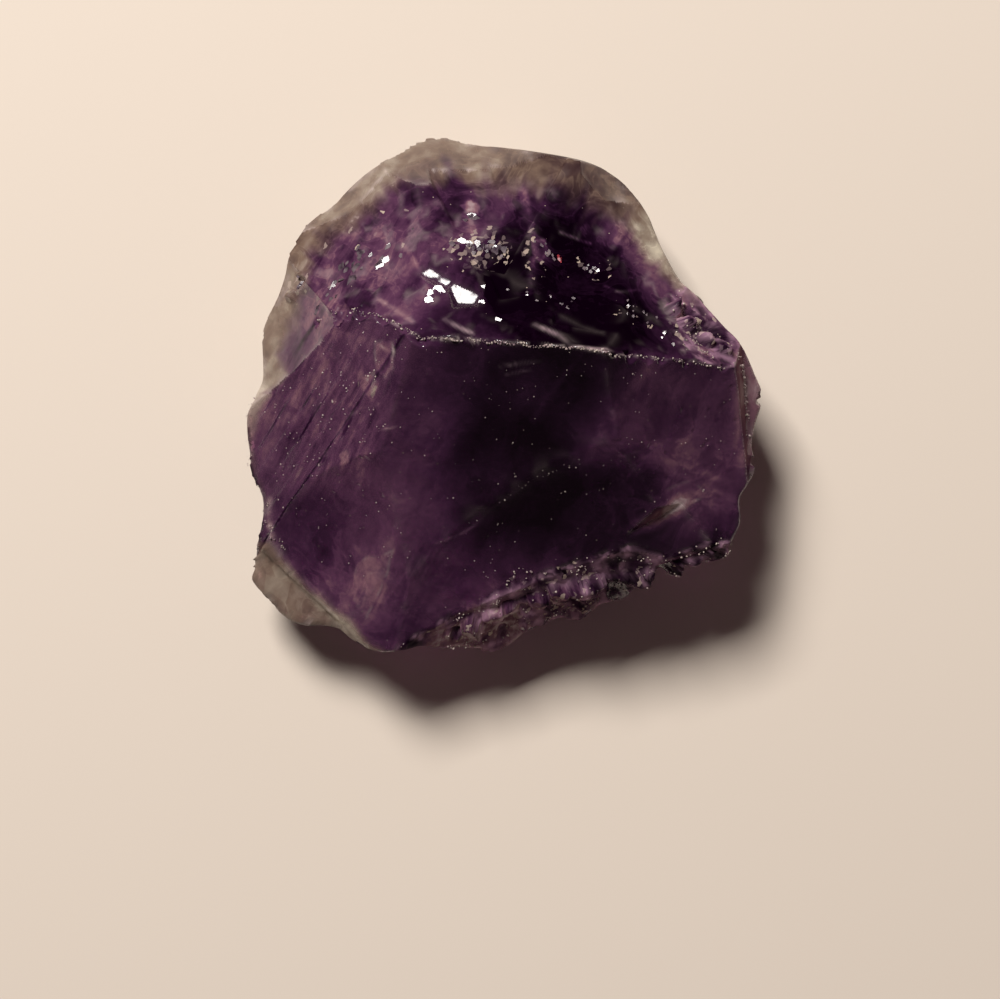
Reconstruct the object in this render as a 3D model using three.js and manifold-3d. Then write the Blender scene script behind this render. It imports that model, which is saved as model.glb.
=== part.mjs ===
// A rough chunk of amethyst, about 40 mm across and 20 mm high, lying on a flat fracture face.
// The stone is carved the way a real one breaks: a rounded lump with the chunk's own rim is cut by
// large curved fractures, then by ledges, notches, pits and small bites, and lumps stay on its crust.
// Millimetres, +Z up. The origin is under the middle of the outline, on the resting face.
import * as THREE from "three";
import { mergeVertices } from "three/addons/utils/BufferGeometryUtils.js";
import Module from "manifold-3d";

// Driving dimensions
const DOME_RISE = 16; // the uncut lump above its rim
const BELLY_DROP = 10.5; // the uncut lump below its rim
const RIM_STEPS = 110; // points round the rim
const DOME_RINGS = 6; // rings from the rim to the top, and again to the underside
const CUTTER_REACH = 34; // a large fracture passes through the whole stone
const CUTTER_THICKNESS = 26;
const CUTTER_SIDES = 24;
const RING_ANGLE = THREE.MathUtils.degToRad(7); // how far a curved fracture turns from ring to ring
const LEDGE_COUNT = 6; // parallel growth ledges on the left slope
const LEDGE_DROP = 0.17;
const LEDGE_SPACING = 1.05;
const LEDGE_START = 9.5; // distance of the first ledge from the origin, along LEDGE_BEARING
const LEDGE_BEARING = 150;
const STEP_WALL = 80; // tilt of a notch's walls
const STEP_REACH = 12;
const CREST_BITES = 22;
const RIM_BITES = 34;
const LOWER_CRUST_LUMPS = 20;
const EAST_CRUST_LUMPS = 9;

// The rim is the chunk's outline seen from above, [x, y, height], anticlockwise from the east
const RIM = [
  [19.9, -0.1, 8.6], [19.3, 1.6, 8.6], [18.1, 4.0, 8.5], [16.5, 5.7, 8.2],
  [14.9, 7.6, 7.7], [13.6, 8.9, 7.2], [12.5, 10.9, 6.7], [11.6, 12.9, 6.3],
  [11.0, 14.3, 6.0], [9.8, 16.0, 5.7], [8.5, 17.2, 5.3], [7.4, 17.8, 5.1],
  [5.0, 18.4, 4.8], [2.1, 18.9, 4.6], [-0.4, 19.2, 4.6], [-2.0, 19.4, 4.6],
  [-3.5, 19.8, 4.7], [-4.7, 20.1, 4.8], [-5.8, 20.0, 4.9], [-7.1, 19.4, 5.1],
  [-8.3, 18.7, 5.3], [-10.0, 17.9, 5.5], [-11.3, 16.9, 5.7], [-12.4, 15.8, 5.9],
  [-13.4, 14.7, 6.1], [-14.9, 13.7, 6.2], [-15.6, 12.9, 6.3], [-16.1, 11.9, 6.4],
  [-16.7, 10.8, 6.4], [-17.0, 9.3, 6.5], [-17.6, 7.5, 6.6], [-18.4, 5.9, 6.7],
  [-18.8, 4.4, 6.8], [-18.7, 2.7, 6.8], [-18.7, 1.2, 6.8], [-19.2, -0.1, 6.7],
  [-19.9, -1.5, 6.6], [-20.0, -3.0, 6.5], [-19.8, -4.6, 6.5], [-19.6, -6.2, 6.4],
  [-19.0, -7.4, 6.3], [-18.7, -8.9, 6.2], [-19.1, -10.8, 5.9], [-19.5, -12.3, 5.6],
  [-19.5, -13.4, 5.5], [-19.8, -14.3, 5.3], [-19.4, -15.0, 5.2], [-18.2, -16.1, 5.2],
  [-17.5, -17.0, 5.3], [-16.6, -17.6, 5.4], [-15.5, -17.9, 5.6], [-14.1, -17.9, 5.9],
  [-12.9, -18.1, 6.3], [-11.9, -18.9, 6.7], [-10.9, -19.5, 7.0], [-9.4, -19.9, 7.2],
  [-7.7, -19.7, 7.2], [-6.5, -19.4, 7.1], [-4.8, -19.6, 6.8], [-3.4, -19.5, 6.3],
  [-1.9, -19.9, 5.7], [-0.5, -20.0, 5.3], [0.6, -19.4, 5.5], [1.7, -18.5, 5.9],
  [3.2, -17.8, 6.4], [4.3, -17.3, 6.8], [5.8, -17.5, 6.8], [6.8, -16.9, 7.2],
  [7.5, -16.2, 7.5], [9.0, -15.8, 7.8], [10.1, -14.8, 8.2], [11.4, -13.6, 8.6],
  [12.4, -13.1, 8.8], [13.6, -12.7, 8.9], [15.2, -12.8, 8.9], [16.5, -12.4, 9.0],
  [17.3, -11.7, 9.1], [17.7, -10.9, 9.2], [18.1, -9.8, 9.2], [18.1, -8.0, 9.2],
  [18.7, -7.0, 9.1], [19.2, -6.1, 9.0], [19.3, -5.1, 8.9], [19.1, -4.1, 8.8],
  [19.3, -2.6, 8.7],
];

// The crest parts the long smooth face from the broken upper side, [x, y, height] from west to east
const CREST = [
  [-14.5, 5.5, 11.9], [-11.5, 6.1, 14.5], [-8.6, 5.3, 16.9], [-6.3, 3.9, 18.6],
  [-2.5, 3.6, 19.1], [2.0, 3.3, 19.4], [6.5, 2.9, 19.8], [8.2, 2.5, 19.3],
  [9.5, 2.6, 18.0], [13.0, 2.3, 15.8], [17.0, 1.9, 13.3],
];

// Large fractures. at: a point on the face. tilt: the outward normal's angle from straight up.
// bearing: which way the normal leans, anticlockwise from +X. bowl: the radius of its hollow, or flat.
const TOP_FRACTURES = {
  main_face: { at: [1.5, -6.0, 15.0], tilt: 23.5, bearing: -106, bowl: 140 },
  right_shoulder: { at: [14.5, -2.0, 13.5], tilt: 32, bearing: -23, bowl: 60 },
  lower_scar: { at: [4.5, -11.0, 12.2], tilt: 28.5, bearing: -94, bowl: 75 },
  left_slope: { at: [-13.0, -1.0, 12.8], tilt: 36, bearing: 197, bowl: 90 },
  left_dish: { at: [-13.4, -10.2, 9.6], tilt: 30, bearing: 222, bowl: 34 },
  toe_slope: { at: [-11.9, -15.1, 9.1], tilt: 25.4, bearing: 228, bowl: 60 },
  crust_west: { at: [-0.6, -17.8, 7.6], tilt: 46, bearing: -73, bowl: 50 },
  crust_middle: { at: [6.0, -15.3, 8.9], tilt: 44, bearing: -82, bowl: 50 },
  crust_east: { at: [12.5, -13.2, 10.3], tilt: 62, bearing: -69, bowl: 50 },
  upper_middle: { at: [0.5, 10.0, 13.3], tilt: 38, bearing: 88, bowl: 60 },
  upper_hollow: { at: [5.8, 8.3, 12.9], tilt: 42, bearing: 70, bowl: 20 },
  upper_left: { at: [-7.8, 10.0, 13.1], tilt: 38, bearing: 115, bowl: 45 },
  shoulder_left: { at: [-13.0, 10.0, 10.7], tilt: 42.4, bearing: 139, bowl: 50 },
  upper_right: { at: [11.8, 5.8, 12.8], tilt: 47.8, bearing: 57, bowl: 40 },
  east_crust: { at: [15.0, 4.2, 12.0], tilt: 52, bearing: 54, bowl: 18 },
  northeast: { at: [9.3, 12.6, 9.7], tilt: 46, bearing: 52, bowl: 40 },
  top_skin: { at: [-0.3, 17.5, 7.9], tilt: 51, bearing: 94, bowl: 120 },
  northwest_skin: { at: [-12.0, 14.6, 8.5], tilt: 54, bearing: 130, bowl: 70 },
  left_skin: { at: [-17.0, 2.8, 9.5], tilt: 49.4, bearing: 165, bowl: 80 },
  left_flank: { at: [-18.9, -3.3, 8.8], tilt: 58, bearing: 185, bowl: 40 },
};

const RESTING_FACE = { at: [0, 0, 0], tilt: 180, bearing: 0, bowl: Infinity };

// Flat fractures under the rim, each just clear of it: [bearing, tilt, clearance]
const UNDERCUTS = [
  [-100, 130, 0.3], [-73, 136, 0.2], [-50, 139, 0.3], [-24, 137, 0.3], [0, 131, 0.2],
  [27, 126, 0.3], [50, 131, 0.4], [76, 124, 0.3], [101, 129, 0.4], [127, 124, 0.4],
  [152, 130, 0.5], [177, 125, 0.3], [203, 133, 0.4], [229, 127, 0.3],
];

// Notches: what lies outside every face of a set breaks away and leaves walls over a shelf
const NOTCHES = {
  lobe: [
    { at: [-15.0, -14.8, 9.0], tilt: 72, bearing: 226, bowl: Infinity },
    { at: [-16.6, -15.5, 6.5], tilt: 18, bearing: 215, bowl: Infinity },
  ],
  right_strip: [
    { at: [18.15, 0.0, 11.0], tilt: 78, bearing: 3, bowl: Infinity },
    { at: [19.0, 0.0, 9.6], tilt: 26, bearing: 2, bowl: Infinity },
  ],
  fan_ledge: [
    { at: [14.0, -8.4, 12.4], tilt: 70, bearing: -62, bowl: Infinity },
    { at: [14.4, -9.6, 11.9], tilt: 24, bearing: -70, bowl: Infinity },
  ],
};

// Small steps broken into the upper side, one glinting floor each.
// at: the middle of the floor's inner edge. down: the bearing it opens to. half: its half width.
const STEPS = [
  { at: [-4.6, 7.8, 14.4], down: 62, half: 1.2 },
  { at: [-2.9, 6.5, 15.4], down: 84, half: 1.4 },
  { at: [-6.1, 6.4, 15.7], down: 108, half: 1.0 },
  { at: [-1.2, 9.2, 13.2], down: 78, half: 1.4 },
  { at: [-2.6, 12.8, 10.7], down: 96, half: 1.3 },
  { at: [1.2, 7.2, 14.8], down: 98, half: 1.4 },
  { at: [-8.6, 8.4, 13.6], down: 128, half: 1.5 },
  { at: [-11.6, 9.0, 11.6], down: 140, half: 1.5 },
  { at: [-9.4, 12.2, 10.9], down: 120, half: 1.2 },
  { at: [9.4, 6.0, 13.4], down: 52, half: 1.3 },
  { at: [5.6, 4.6, 16.1], down: 80, half: 1.8 },
  { at: [2.4, 12.2, 11.5], down: 92, half: 1.5 },
];

// Hollows in the crust and on the broken sides, [x, y, z, radius]
const PITS = [
  [5.4, -17.4, 8.9, 1.5], [8.4, -15.9, 9.7, 1.3], [-0.9, -19.4, 8.4, 1.0],
  [1.9, -17.2, 9.7, 0.9], [15.9, 5.3, 11.5, 1.2], [14.1, 6.7, 11.5, 0.9],
  [-16.2, 8.6, 9.9, 0.9], [12.4, -13.6, 10.4, 0.8],
];

// Lumps left on the crust, [x, y, z, half length, half width, half height, turn]
const LUMPS = [
  [6.4, -14.4, 9.3, 2.1, 1.0, 0.8, 12], [16.2, -11.9, 9.9, 1.1, 0.8, 0.9, 30],
  [-2.4, 3.6, 18.6, 0.7, 0.45, 0.6, 0], [-16.6, 7.5, 8.9, 0.8, 0.6, 0.5, 40],
];

// Smaller lumps lie along the crusts, [x, y, height] from west to east
const LOWER_CRUST = [
  [-4.2, -18.3, 8.2], [0.2, -16.2, 8.9], [4.6, -14.9, 9.4], [9.2, -14.1, 9.9],
  [13.0, -12.8, 10.4], [16.9, -11.2, 10.4],
];
const EAST_CRUST = [[12.9, 6.4, 12.3], [14.6, 4.8, 12.3], [16.4, 3.0, 12.0], [17.9, 1.0, 11.2]];

const wasm = await Module();
wasm.setup();

// The unit vector that leans by tilt from straight up towards a bearing, both in degrees
function lean(tilt, bearing) {
  const away = THREE.MathUtils.degToRad(tilt);
  const round = THREE.MathUtils.degToRad(bearing);
  return new THREE.Vector3(
    Math.sin(away) * Math.cos(round),
    Math.sin(away) * Math.sin(round),
    Math.cos(away),
  );
}

// A repeatable stream of numbers from 0 to 1
function seeded(seed) {
  let state = seed;
  return () => {
    state = (state * 48271) % 2147483647;
    return state / 2147483647;
  };
}

// A closed three.js geometry as a manifold-3d solid
function solidOf(geometry) {
  const bare = geometry.clone();
  bare.deleteAttribute("normal");
  bare.deleteAttribute("uv");
  const merged = mergeVertices(bare, 1e-4);
  const kept = [];
  const index = merged.index.array;
  for (let i = 0; i < index.length; i += 3) {
    const [a, b, c] = index.slice(i, i + 3);
    if (a !== b && b !== c && c !== a) kept.push(a, b, c);
  }
  const solid = new wasm.Manifold(
    new wasm.Mesh({
      numProp: 3,
      vertProperties: merged.attributes.position.array,
      triVerts: new Uint32Array(kept),
    }),
  );
  if (solid.volume() < 0) throw new Error("a cutter is inside out");
  return solid;
}

const rimPoints = new THREE.CatmullRomCurve3(
  RIM.map(([x, y, z]) => new THREE.Vector3(x, y, z)),
  true,
  "centripetal",
).getSpacedPoints(RIM_STEPS).slice(0, RIM_STEPS).reverse();

// The stone before it broke: rings of the rim, drawn in towards a top and an underside
function unbrokenLump() {
  const positions = [];
  for (let ring = -DOME_RINGS + 1; ring < DOME_RINGS; ring++) {
    const angle = (ring / DOME_RINGS) * (Math.PI / 2);
    const rise = Math.sin(angle) * (ring > 0 ? DOME_RISE : BELLY_DROP);
    for (const p of rimPoints)
      positions.push(p.x * Math.cos(angle), p.y * Math.cos(angle), p.z + rise);
  }
  const meanHeight = rimPoints.reduce((sum, p) => sum + p.z, 0) / RIM_STEPS;
  const bottom = positions.length / 3;
  positions.push(0, 0, meanHeight - BELLY_DROP, 0, 0, meanHeight + DOME_RISE);
  const index = [];
  const rings = 2 * DOME_RINGS - 1;
  for (let i = 0; i < RIM_STEPS; i++) {
    const next = (i + 1) % RIM_STEPS;
    for (let ring = 0; ring < rings - 1; ring++) {
      const low = ring * RIM_STEPS;
      const high = low + RIM_STEPS;
      index.push(low + i, high + next, low + next, low + i, high + i, high + next);
    }
    const last = (rings - 1) * RIM_STEPS;
    index.push(bottom, i, next, bottom + 1, last + next, last + i);
  }
  return solidOf(
    new THREE.BufferGeometry()
      .setAttribute("position", new THREE.Float32BufferAttribute(positions, 3))
      .setIndex(index),
  );
}

// What breaks away outside one fracture face: a thick disc whose lower side is the face,
// swelling down to a bowl's lowest point where the fracture is hollow
function brokenAway({ at, tilt, bearing, bowl }, reach = CUTTER_REACH) {
  const profile = [];
  if (bowl === Infinity) {
    profile.push(new THREE.Vector2(0, 0), new THREE.Vector2(reach, 0));
  } else {
    const edge = Math.asin(Math.min(reach / bowl, 0.98));
    const rings = Math.max(2, Math.ceil(edge / RING_ANGLE));
    for (let i = 0; i <= rings; i++) {
      const angle = (edge * i) / rings;
      profile.push(
        new THREE.Vector2(bowl * Math.sin(angle), bowl * (1 - Math.cos(angle))),
      );
    }
  }
  const last = profile[profile.length - 1];
  const top = last.y + CUTTER_THICKNESS;
  profile.push(new THREE.Vector2(last.x, top), new THREE.Vector2(0, top));
  const sides = bowl === Infinity ? 6 : CUTTER_SIDES;
  const geometry = new THREE.LatheGeometry(profile, sides);
  const turn = new THREE.Quaternion().setFromUnitVectors(
    new THREE.Vector3(0, 1, 0),
    lean(tilt, bearing),
  );
  geometry.applyQuaternion(turn).translate(...at);
  return solidOf(geometry);
}

// The face of an undercut, as far out as the rim lets it be
function undercut([bearing, tilt, clearance]) {
  const outward = lean(tilt, bearing);
  const reach = Math.max(...rimPoints.map((p) => p.dot(outward))) + clearance;
  return { at: outward.multiplyScalar(reach).toArray(), tilt, bearing, bowl: Infinity };
}

// What breaks away outside all the faces of a notch
function notch(faces, reach) {
  return faces
    .map((face) => brokenAway(face, reach))
    .reduce((common, cutter) => common.intersect(cutter));
}

// The parallel ledges of the left slope, each a little lower than the one before
function ledges() {
  const slope = TOP_FRACTURES.left_slope;
  const across = lean(90, LEDGE_BEARING);
  const cutters = [];
  for (let i = 0; i < LEDGE_COUNT; i++) {
    const wall = across.clone().multiplyScalar(LEDGE_START + i * LEDGE_SPACING);
    const drop = lean(slope.tilt, slope.bearing).multiplyScalar(-LEDGE_DROP * (i + 1));
    const shelf = new THREE.Vector3(...slope.at).add(drop);
    cutters.push(
      notch([
        { at: [wall.x, wall.y, 12], tilt: STEP_WALL, bearing: LEDGE_BEARING, bowl: Infinity },
        { at: shelf.toArray(), tilt: slope.tilt, bearing: slope.bearing, bowl: Infinity },
      ]),
    );
  }
  return cutters;
}

// One step of the upper side: a floor that faces up and a little west, a back wall and two sides
function step({ at, down, half }) {
  const side = lean(90, down + 90).multiplyScalar(half);
  const corner = new THREE.Vector3(...at);
  const faces = [
    { at, tilt: 16, bearing: 120, bowl: Infinity },
    { at, tilt: STEP_WALL, bearing: down, bowl: Infinity },
    {
      at: corner.clone().add(side).toArray(),
      tilt: STEP_WALL, bearing: down - 70, bowl: Infinity,
    },
    {
      at: corner.clone().sub(side).toArray(),
      tilt: STEP_WALL, bearing: down + 70, bowl: Infinity,
    },
  ];
  return notch(faces, STEP_REACH);
}

function pit([x, y, z, radius]) {
  return solidOf(new THREE.IcosahedronGeometry(radius, 1).rotateZ(x).translate(x, y, z));
}

function lump([x, y, z, length, width, height, turn]) {
  const geometry = new THREE.IcosahedronGeometry(1, 1).scale(length, width, height);
  return solidOf(geometry.rotateZ(THREE.MathUtils.degToRad(turn)).translate(x, y, z));
}

// Angular grains at seeded places along a line of points, to cut out or to leave on.
// lift moves each one off the line by its own radius, upwards, or outwards on a closed line.
function grains(points, { closed = false, count, seed, smallest, largest, lift }) {
  const curve = new THREE.CatmullRomCurve3(points, closed, "centripetal");
  const next = seeded(seed);
  const solids = [];
  for (let i = 0; i < count; i++) {
    const p = curve.getPointAt((i + next()) / count);
    const radius = smallest + (largest - smallest) * next() ** 2;
    const outward = Math.atan2(p.y, p.x);
    const away = closed ? new THREE.Vector3(Math.cos(outward), Math.sin(outward), 0) : lean(0, 0);
    p.addScaledVector(away, radius * lift);
    const grain = new THREE.IcosahedronGeometry(radius, 0)
      .scale(1, 0.7 + 0.3 * next(), 0.6 + 0.3 * next())
      .rotateX(next() * 3)
      .rotateZ(next() * 6)
      .translate(p.x, p.y, p.z);
    solids.push(solidOf(grain));
  }
  return solids;
}

const vectors = (list) => list.map(([x, y, z]) => new THREE.Vector3(x, y, z));

let stone = unbrokenLump();
const take = (cutter) => (stone = stone.subtract(cutter));
const leave = (solid) => (stone = stone.add(solid));

Object.values(TOP_FRACTURES).forEach((face) => take(brokenAway(face)));
UNDERCUTS.map(undercut).forEach((face) => take(brokenAway(face)));
take(brokenAway(RESTING_FACE));
Object.values(NOTCHES).forEach((faces) => take(notch(faces)));
ledges().forEach(take);
STEPS.map(step).forEach(take);
LUMPS.map(lump).forEach(leave);
grains(vectors(LOWER_CRUST), {
  count: LOWER_CRUST_LUMPS, seed: 5, smallest: 0.6, largest: 1.2, lift: -0.3,
}).forEach(leave);
grains(vectors(EAST_CRUST), {
  count: EAST_CRUST_LUMPS, seed: 9, smallest: 0.5, largest: 1.0, lift: -0.3,
}).forEach(leave);
PITS.map(pit).forEach(take);
grains(vectors(CREST), {
  count: CREST_BITES, seed: 7, smallest: 0.5, largest: 1.1, lift: 0.5,
}).forEach(take);
grains(vectors(RIM), {
  closed: true, count: RIM_BITES, seed: 11, smallest: 0.5, largest: 1.2, lift: 0.7,
}).forEach(take);

// The finished solid as a three.js geometry
function geometryOf(solid) {
  const { numProp, numVert, vertProperties, triVerts } = solid.getMesh();
  const positions = new Float32Array(numVert * 3);
  for (let i = 0; i < numVert; i++)
    positions.set(vertProperties.subarray(i * numProp, i * numProp + 3), i * 3);
  const geometry = new THREE.BufferGeometry()
    .setAttribute("position", new THREE.BufferAttribute(positions, 3))
    .setIndex(new THREE.BufferAttribute(triVerts, 1))
    .toNonIndexed();
  geometry.computeVertexNormals();
  return geometry;
}

const amethyst = new THREE.MeshStandardMaterial({
  color: 0x4a2f4e,
  roughness: 0.25,
  metalness: 0,
});
const chunk = new THREE.Mesh(geometryOf(stone), amethyst);
chunk.name = "amethyst_chunk";

const group = new THREE.Group();
group.add(chunk);
export default group;
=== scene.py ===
"""The looks of a rough chunk of amethyst: its broken surface, crushed edges, floor, light and camera.

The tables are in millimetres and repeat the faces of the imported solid, so that the dressed stone
stands exactly in its place. Everything that Blender gets is in metres.
"""
import sys
import logging
import math
from dataclasses import dataclass, field
from enum import IntEnum
from typing import Any, Iterable, Optional, Sequence

import bpy
import numpy as np
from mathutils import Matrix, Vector


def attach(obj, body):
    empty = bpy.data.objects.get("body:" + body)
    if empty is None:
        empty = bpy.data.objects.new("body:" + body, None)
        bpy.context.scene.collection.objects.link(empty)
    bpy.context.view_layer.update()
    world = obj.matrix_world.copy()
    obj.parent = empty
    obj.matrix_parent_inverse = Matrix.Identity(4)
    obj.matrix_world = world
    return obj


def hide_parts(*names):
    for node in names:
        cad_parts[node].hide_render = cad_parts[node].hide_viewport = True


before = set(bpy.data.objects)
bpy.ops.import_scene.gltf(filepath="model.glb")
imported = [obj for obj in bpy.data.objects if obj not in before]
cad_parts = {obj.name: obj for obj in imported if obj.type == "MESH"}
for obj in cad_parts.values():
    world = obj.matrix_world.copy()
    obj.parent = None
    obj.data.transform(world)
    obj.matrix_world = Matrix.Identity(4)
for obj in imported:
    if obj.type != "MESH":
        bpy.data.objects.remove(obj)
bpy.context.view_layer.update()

MM = 0.001
CHUNK = "amethyst_chunk"
QUARTZ_IOR = 1.55
FAR = 1e9  # further than anything, in mm
Vec3 = tuple[float, float, float]
Array = np.ndarray
Piece = bpy.types.Object
Tree = bpy.types.NodeTree
Socket = bpy.types.NodeSocket
Node = bpy.types.Node
Cut = tuple[Array, Array, Array]
Stops = tuple[tuple[float, str], ...]
# The kinds of node that are used most
MATH, RANGE, MIX, RANDOM = "ShaderNodeMath", "ShaderNodeMapRange", "ShaderNodeMix", "FunctionNodeRandomValue"
log = logging.getLogger("amethyst")


class Skin(IntEnum):
    """How a part of the surface came to be, which decides its relief and its finish."""

    CLEAN = 0
    STRIATED = 1
    CHIPPED = 2
    FROSTED = 3
    CRUSTED = 4
    UNDERSIDE = 5
    GLASSY = 6
    LEDGE = 7


class Coat(IntEnum):
    """The finishes of the stone, in the order of its material slots."""

    CLEAR = 0
    MILKY = 1
    CLOUDY = 2
    FROSTED = 3
    CRUSHED = 4
    FLAKED = 5
    HACKLY = 6


def lean(tilt: float, bearing: float) -> Array:
    """Gives the unit vector a tilt away from straight up, towards a bearing from +X, both in degrees."""
    away, turn = math.radians(tilt), math.radians(bearing)
    return np.array([math.sin(away) * math.cos(turn), math.sin(away) * math.sin(turn), math.cos(away)])


def turned(angle: float) -> Array:
    """Gives the matrix that brings rows of points into a frame turned about the upright, in radians."""
    c, s = math.cos(angle), math.sin(angle)
    return np.array([[c, -s, 0], [s, c, 0], [0, 0, 1]])


class Seeded:
    """A repeatable stream of numbers from 0 to 1."""

    def __init__(self, seed: int) -> None:
        """Starts the stream at a seed."""
        self.state = seed

    def next(self) -> float:
        """Gives the next number."""
        self.state = (self.state * 48271) % 2147483647
        return self.state / 2147483647


def smooth_line(points: Sequence[Sequence[float]], closed: bool = False, fine: int = 12) -> Array:
    """Runs a centripetal curve through points.

    Args:
        points: The points to pass through.
        closed: Whether the last point joins the first.
        fine: How many short steps each span is cut into.

    Returns:
        The points of the curve, one row each.
    """
    p = np.array(points, dtype=float)
    if closed:
        p = np.vstack([p[-1], p, p[0], p[1]])
    else:
        p = np.vstack([2 * p[0] - p[1], p, 2 * p[-1] - p[-2]])
    rows = []
    for i in range(1, len(p) - 2):
        a, b, c, d = p[i - 1], p[i], p[i + 1], p[i + 2]
        before, span, after = (max(float(np.linalg.norm(v)) ** 0.5, 1e-4) for v in (b - a, c - b, d - c))
        start = ((b - a) / before - (c - a) / (before + span) + (c - b) / span) * span
        end = ((c - b) / span - (d - b) / (span + after) + (d - c) / after) * span
        t = np.arange(fine)[:, None] / fine
        rows.append(b + start * t + (3 * (c - b) - 2 * start - end) * t**2 + (2 * (b - c) + start + end) * t**3)
    if not closed:
        rows.append(p[-2:-1])
    return np.vstack(rows)


def along(line: Array, share: float) -> Array:
    """Gives the point that lies some way along a line.

    Args:
        line: The line's points, in mm.
        share: How far, from 0 to 1.

    Returns:
        The point, in mm.
    """
    steps = np.linalg.norm(np.diff(line, axis=0), axis=1)
    length = np.concatenate([[0.0], np.cumsum(steps)])
    return np.array([np.interp(share * length[-1], length, line[:, k]) for k in range(3)])


class Noise:
    """Smooth seeded noise in space, from -1 to 1, one wave about two lattice steps long."""

    SIDE = 32

    def __init__(self, seed: int) -> None:
        """Fills the lattice with repeatable values."""
        self.table = np.random.default_rng(seed).uniform(-1, 1, (self.SIDE,) * 3)

    def at(self, points: Array, size: float) -> Array:
        """Gives the noise at points.

        Args:
            points: The places, in mm.
            size: The lattice step, in mm.

        Returns:
            One number for each place.
        """
        p = points / size + 100.0
        cell = np.floor(p).astype(int)
        f = p - cell
        f = f * f * (3 - 2 * f)
        total = np.zeros(len(points))
        for dx in (0, 1):
            wx = f[:, 0] if dx else 1 - f[:, 0]
            for dy in (0, 1):
                wy = f[:, 1] if dy else 1 - f[:, 1]
                for dz in (0, 1):
                    wz = f[:, 2] if dz else 1 - f[:, 2]
                    corner = (cell + (dx, dy, dz)) % self.SIDE
                    total += wx * wy * wz * self.table[corner[:, 0], corner[:, 1], corner[:, 2]]
        return total


class Scoops:
    """A flaked surface: shallow hollows, each with its own lean, that meet in sharp ridges."""

    SIDE = 16

    def __init__(self, seed: int) -> None:
        """Gives every cell of the lattice a place, a lean, a height and a number of its own.

        Args:
            seed: What they are drawn from.
        """
        rng = np.random.default_rng(seed)
        self.place = rng.uniform(0.15, 0.85, (self.SIDE,) * 3 + (3,))
        self.slant = rng.normal(0, 1, (self.SIDE,) * 3 + (3,))
        self.slant /= np.linalg.norm(self.slant, axis=3)[..., None] / rng.uniform(0.4, 1, (self.SIDE,) * 3 + (1,))
        self.height = rng.uniform(-1, 1, (self.SIDE,) * 3)
        self.shade = rng.uniform(-1, 1, (self.SIDE,) * 3)

    def cut(self, points: Array, size: float, slant: float, hollow: float) -> Cut:
        """Gives the hollow that each place lies in.

        Args:
            points: The places, in mm.
            size: The width of a hollow, in mm.
            slant: How much the hollows lean, as a slope.
            hollow: How curved they are, as the slope at half their width.

        Returns:
            The depth at each place, in mm, around zero; a number from -1 to 1 that is the hollow's own;
            and how much lower it is than the next hollow there, in mm, which is small along a ridge.
        """
        p = points / size + 40.0
        cell = np.floor(p).astype(int)
        depth, behind, shade = np.full(len(points), FAR), np.full(len(points), FAR), np.zeros(len(points))
        for step in np.ndindex(3, 3, 3):
            near = cell + np.array(step) - 1
            k = tuple((near % self.SIDE).T)
            away = p - (near + self.place[k])
            level = hollow * np.einsum("ij,ij->i", away, away) + 0.35 * slant * self.height[k]
            level += slant * np.einsum("ij,ij->i", away, self.slant[k])
            first = level < depth
            behind = np.where(first, depth, np.minimum(behind, level))
            shade = np.where(first, self.shade[k], shade)
            depth = np.where(first, level, depth)
        return -size * (depth - np.median(depth)), shade, size * (behind - depth)

    def at(self, points: Array, size: float, slant: float, hollow: float) -> Array:
        """Gives only the depth of the hollows, in mm, around zero."""
        return self.cut(points, size, slant, hollow)[0]


@dataclass(frozen=True)
class Fracture:
    """One face along which the stone broke: a plane, or the hollow side of a large bowl.

    Attributes:
        at: A point on the face, in mm.
        tilt: The outward normal's angle from straight up, in degrees.
        bearing: Which way the normal leans, anticlockwise from +X, in degrees.
        bowl: The radius of the hollow, in mm.
        skin: What its surface is like.
    """

    at: Vec3
    tilt: float
    bearing: float
    bowl: float = math.inf
    skin: Skin = Skin.CLEAN

    def outside(self, points: Array) -> Array:
        """Measures points against the face.

        Args:
            points: The places, in mm.

        Returns:
            How far each lies outside the face, in mm.
        """
        normal = lean(self.tilt, self.bearing)
        if math.isinf(self.bowl):
            return (points - np.array(self.at)) @ normal
        return self.bowl - np.linalg.norm(points - (np.array(self.at) + normal * self.bowl), axis=1)


@dataclass(frozen=True)
class Grain:
    """A small angular lump that stays on the stone, or a bite of that shape out of it.

    Attributes:
        at: Its middle, in mm.
        radii: Its half sizes, in mm.
        turn: Its turn about the upright, in radians.
        seed: What its facets are drawn from.
        bite: Whether it is taken away instead of left on.
    """

    at: Vec3
    radii: Vec3
    turn: float
    seed: int
    bite: bool = False

    def outside(self, points: Array) -> tuple[Array, Array]:
        """Measures the points near the grain.

        Args:
            points: The places, in mm.

        Returns:
            The indices of the near places, and how far each lies outside the grain, in mm.
        """
        away = points - np.array(self.at)
        reach = max(self.radii) * 1.6 + 0.4
        near = np.flatnonzero(np.einsum("ij,ij->i", away, away) < reach * reach)
        local = away[near] @ turned(self.turn) / np.array(self.radii)
        facets = np.random.default_rng(self.seed).normal(size=(13, 3))
        facets /= np.linalg.norm(facets, axis=1)[:, None]
        level = np.maximum(np.max(local @ facets.T, axis=1) - 0.93, np.linalg.norm(local, axis=1) - 1.3)
        return near, level * min(self.radii)


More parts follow.
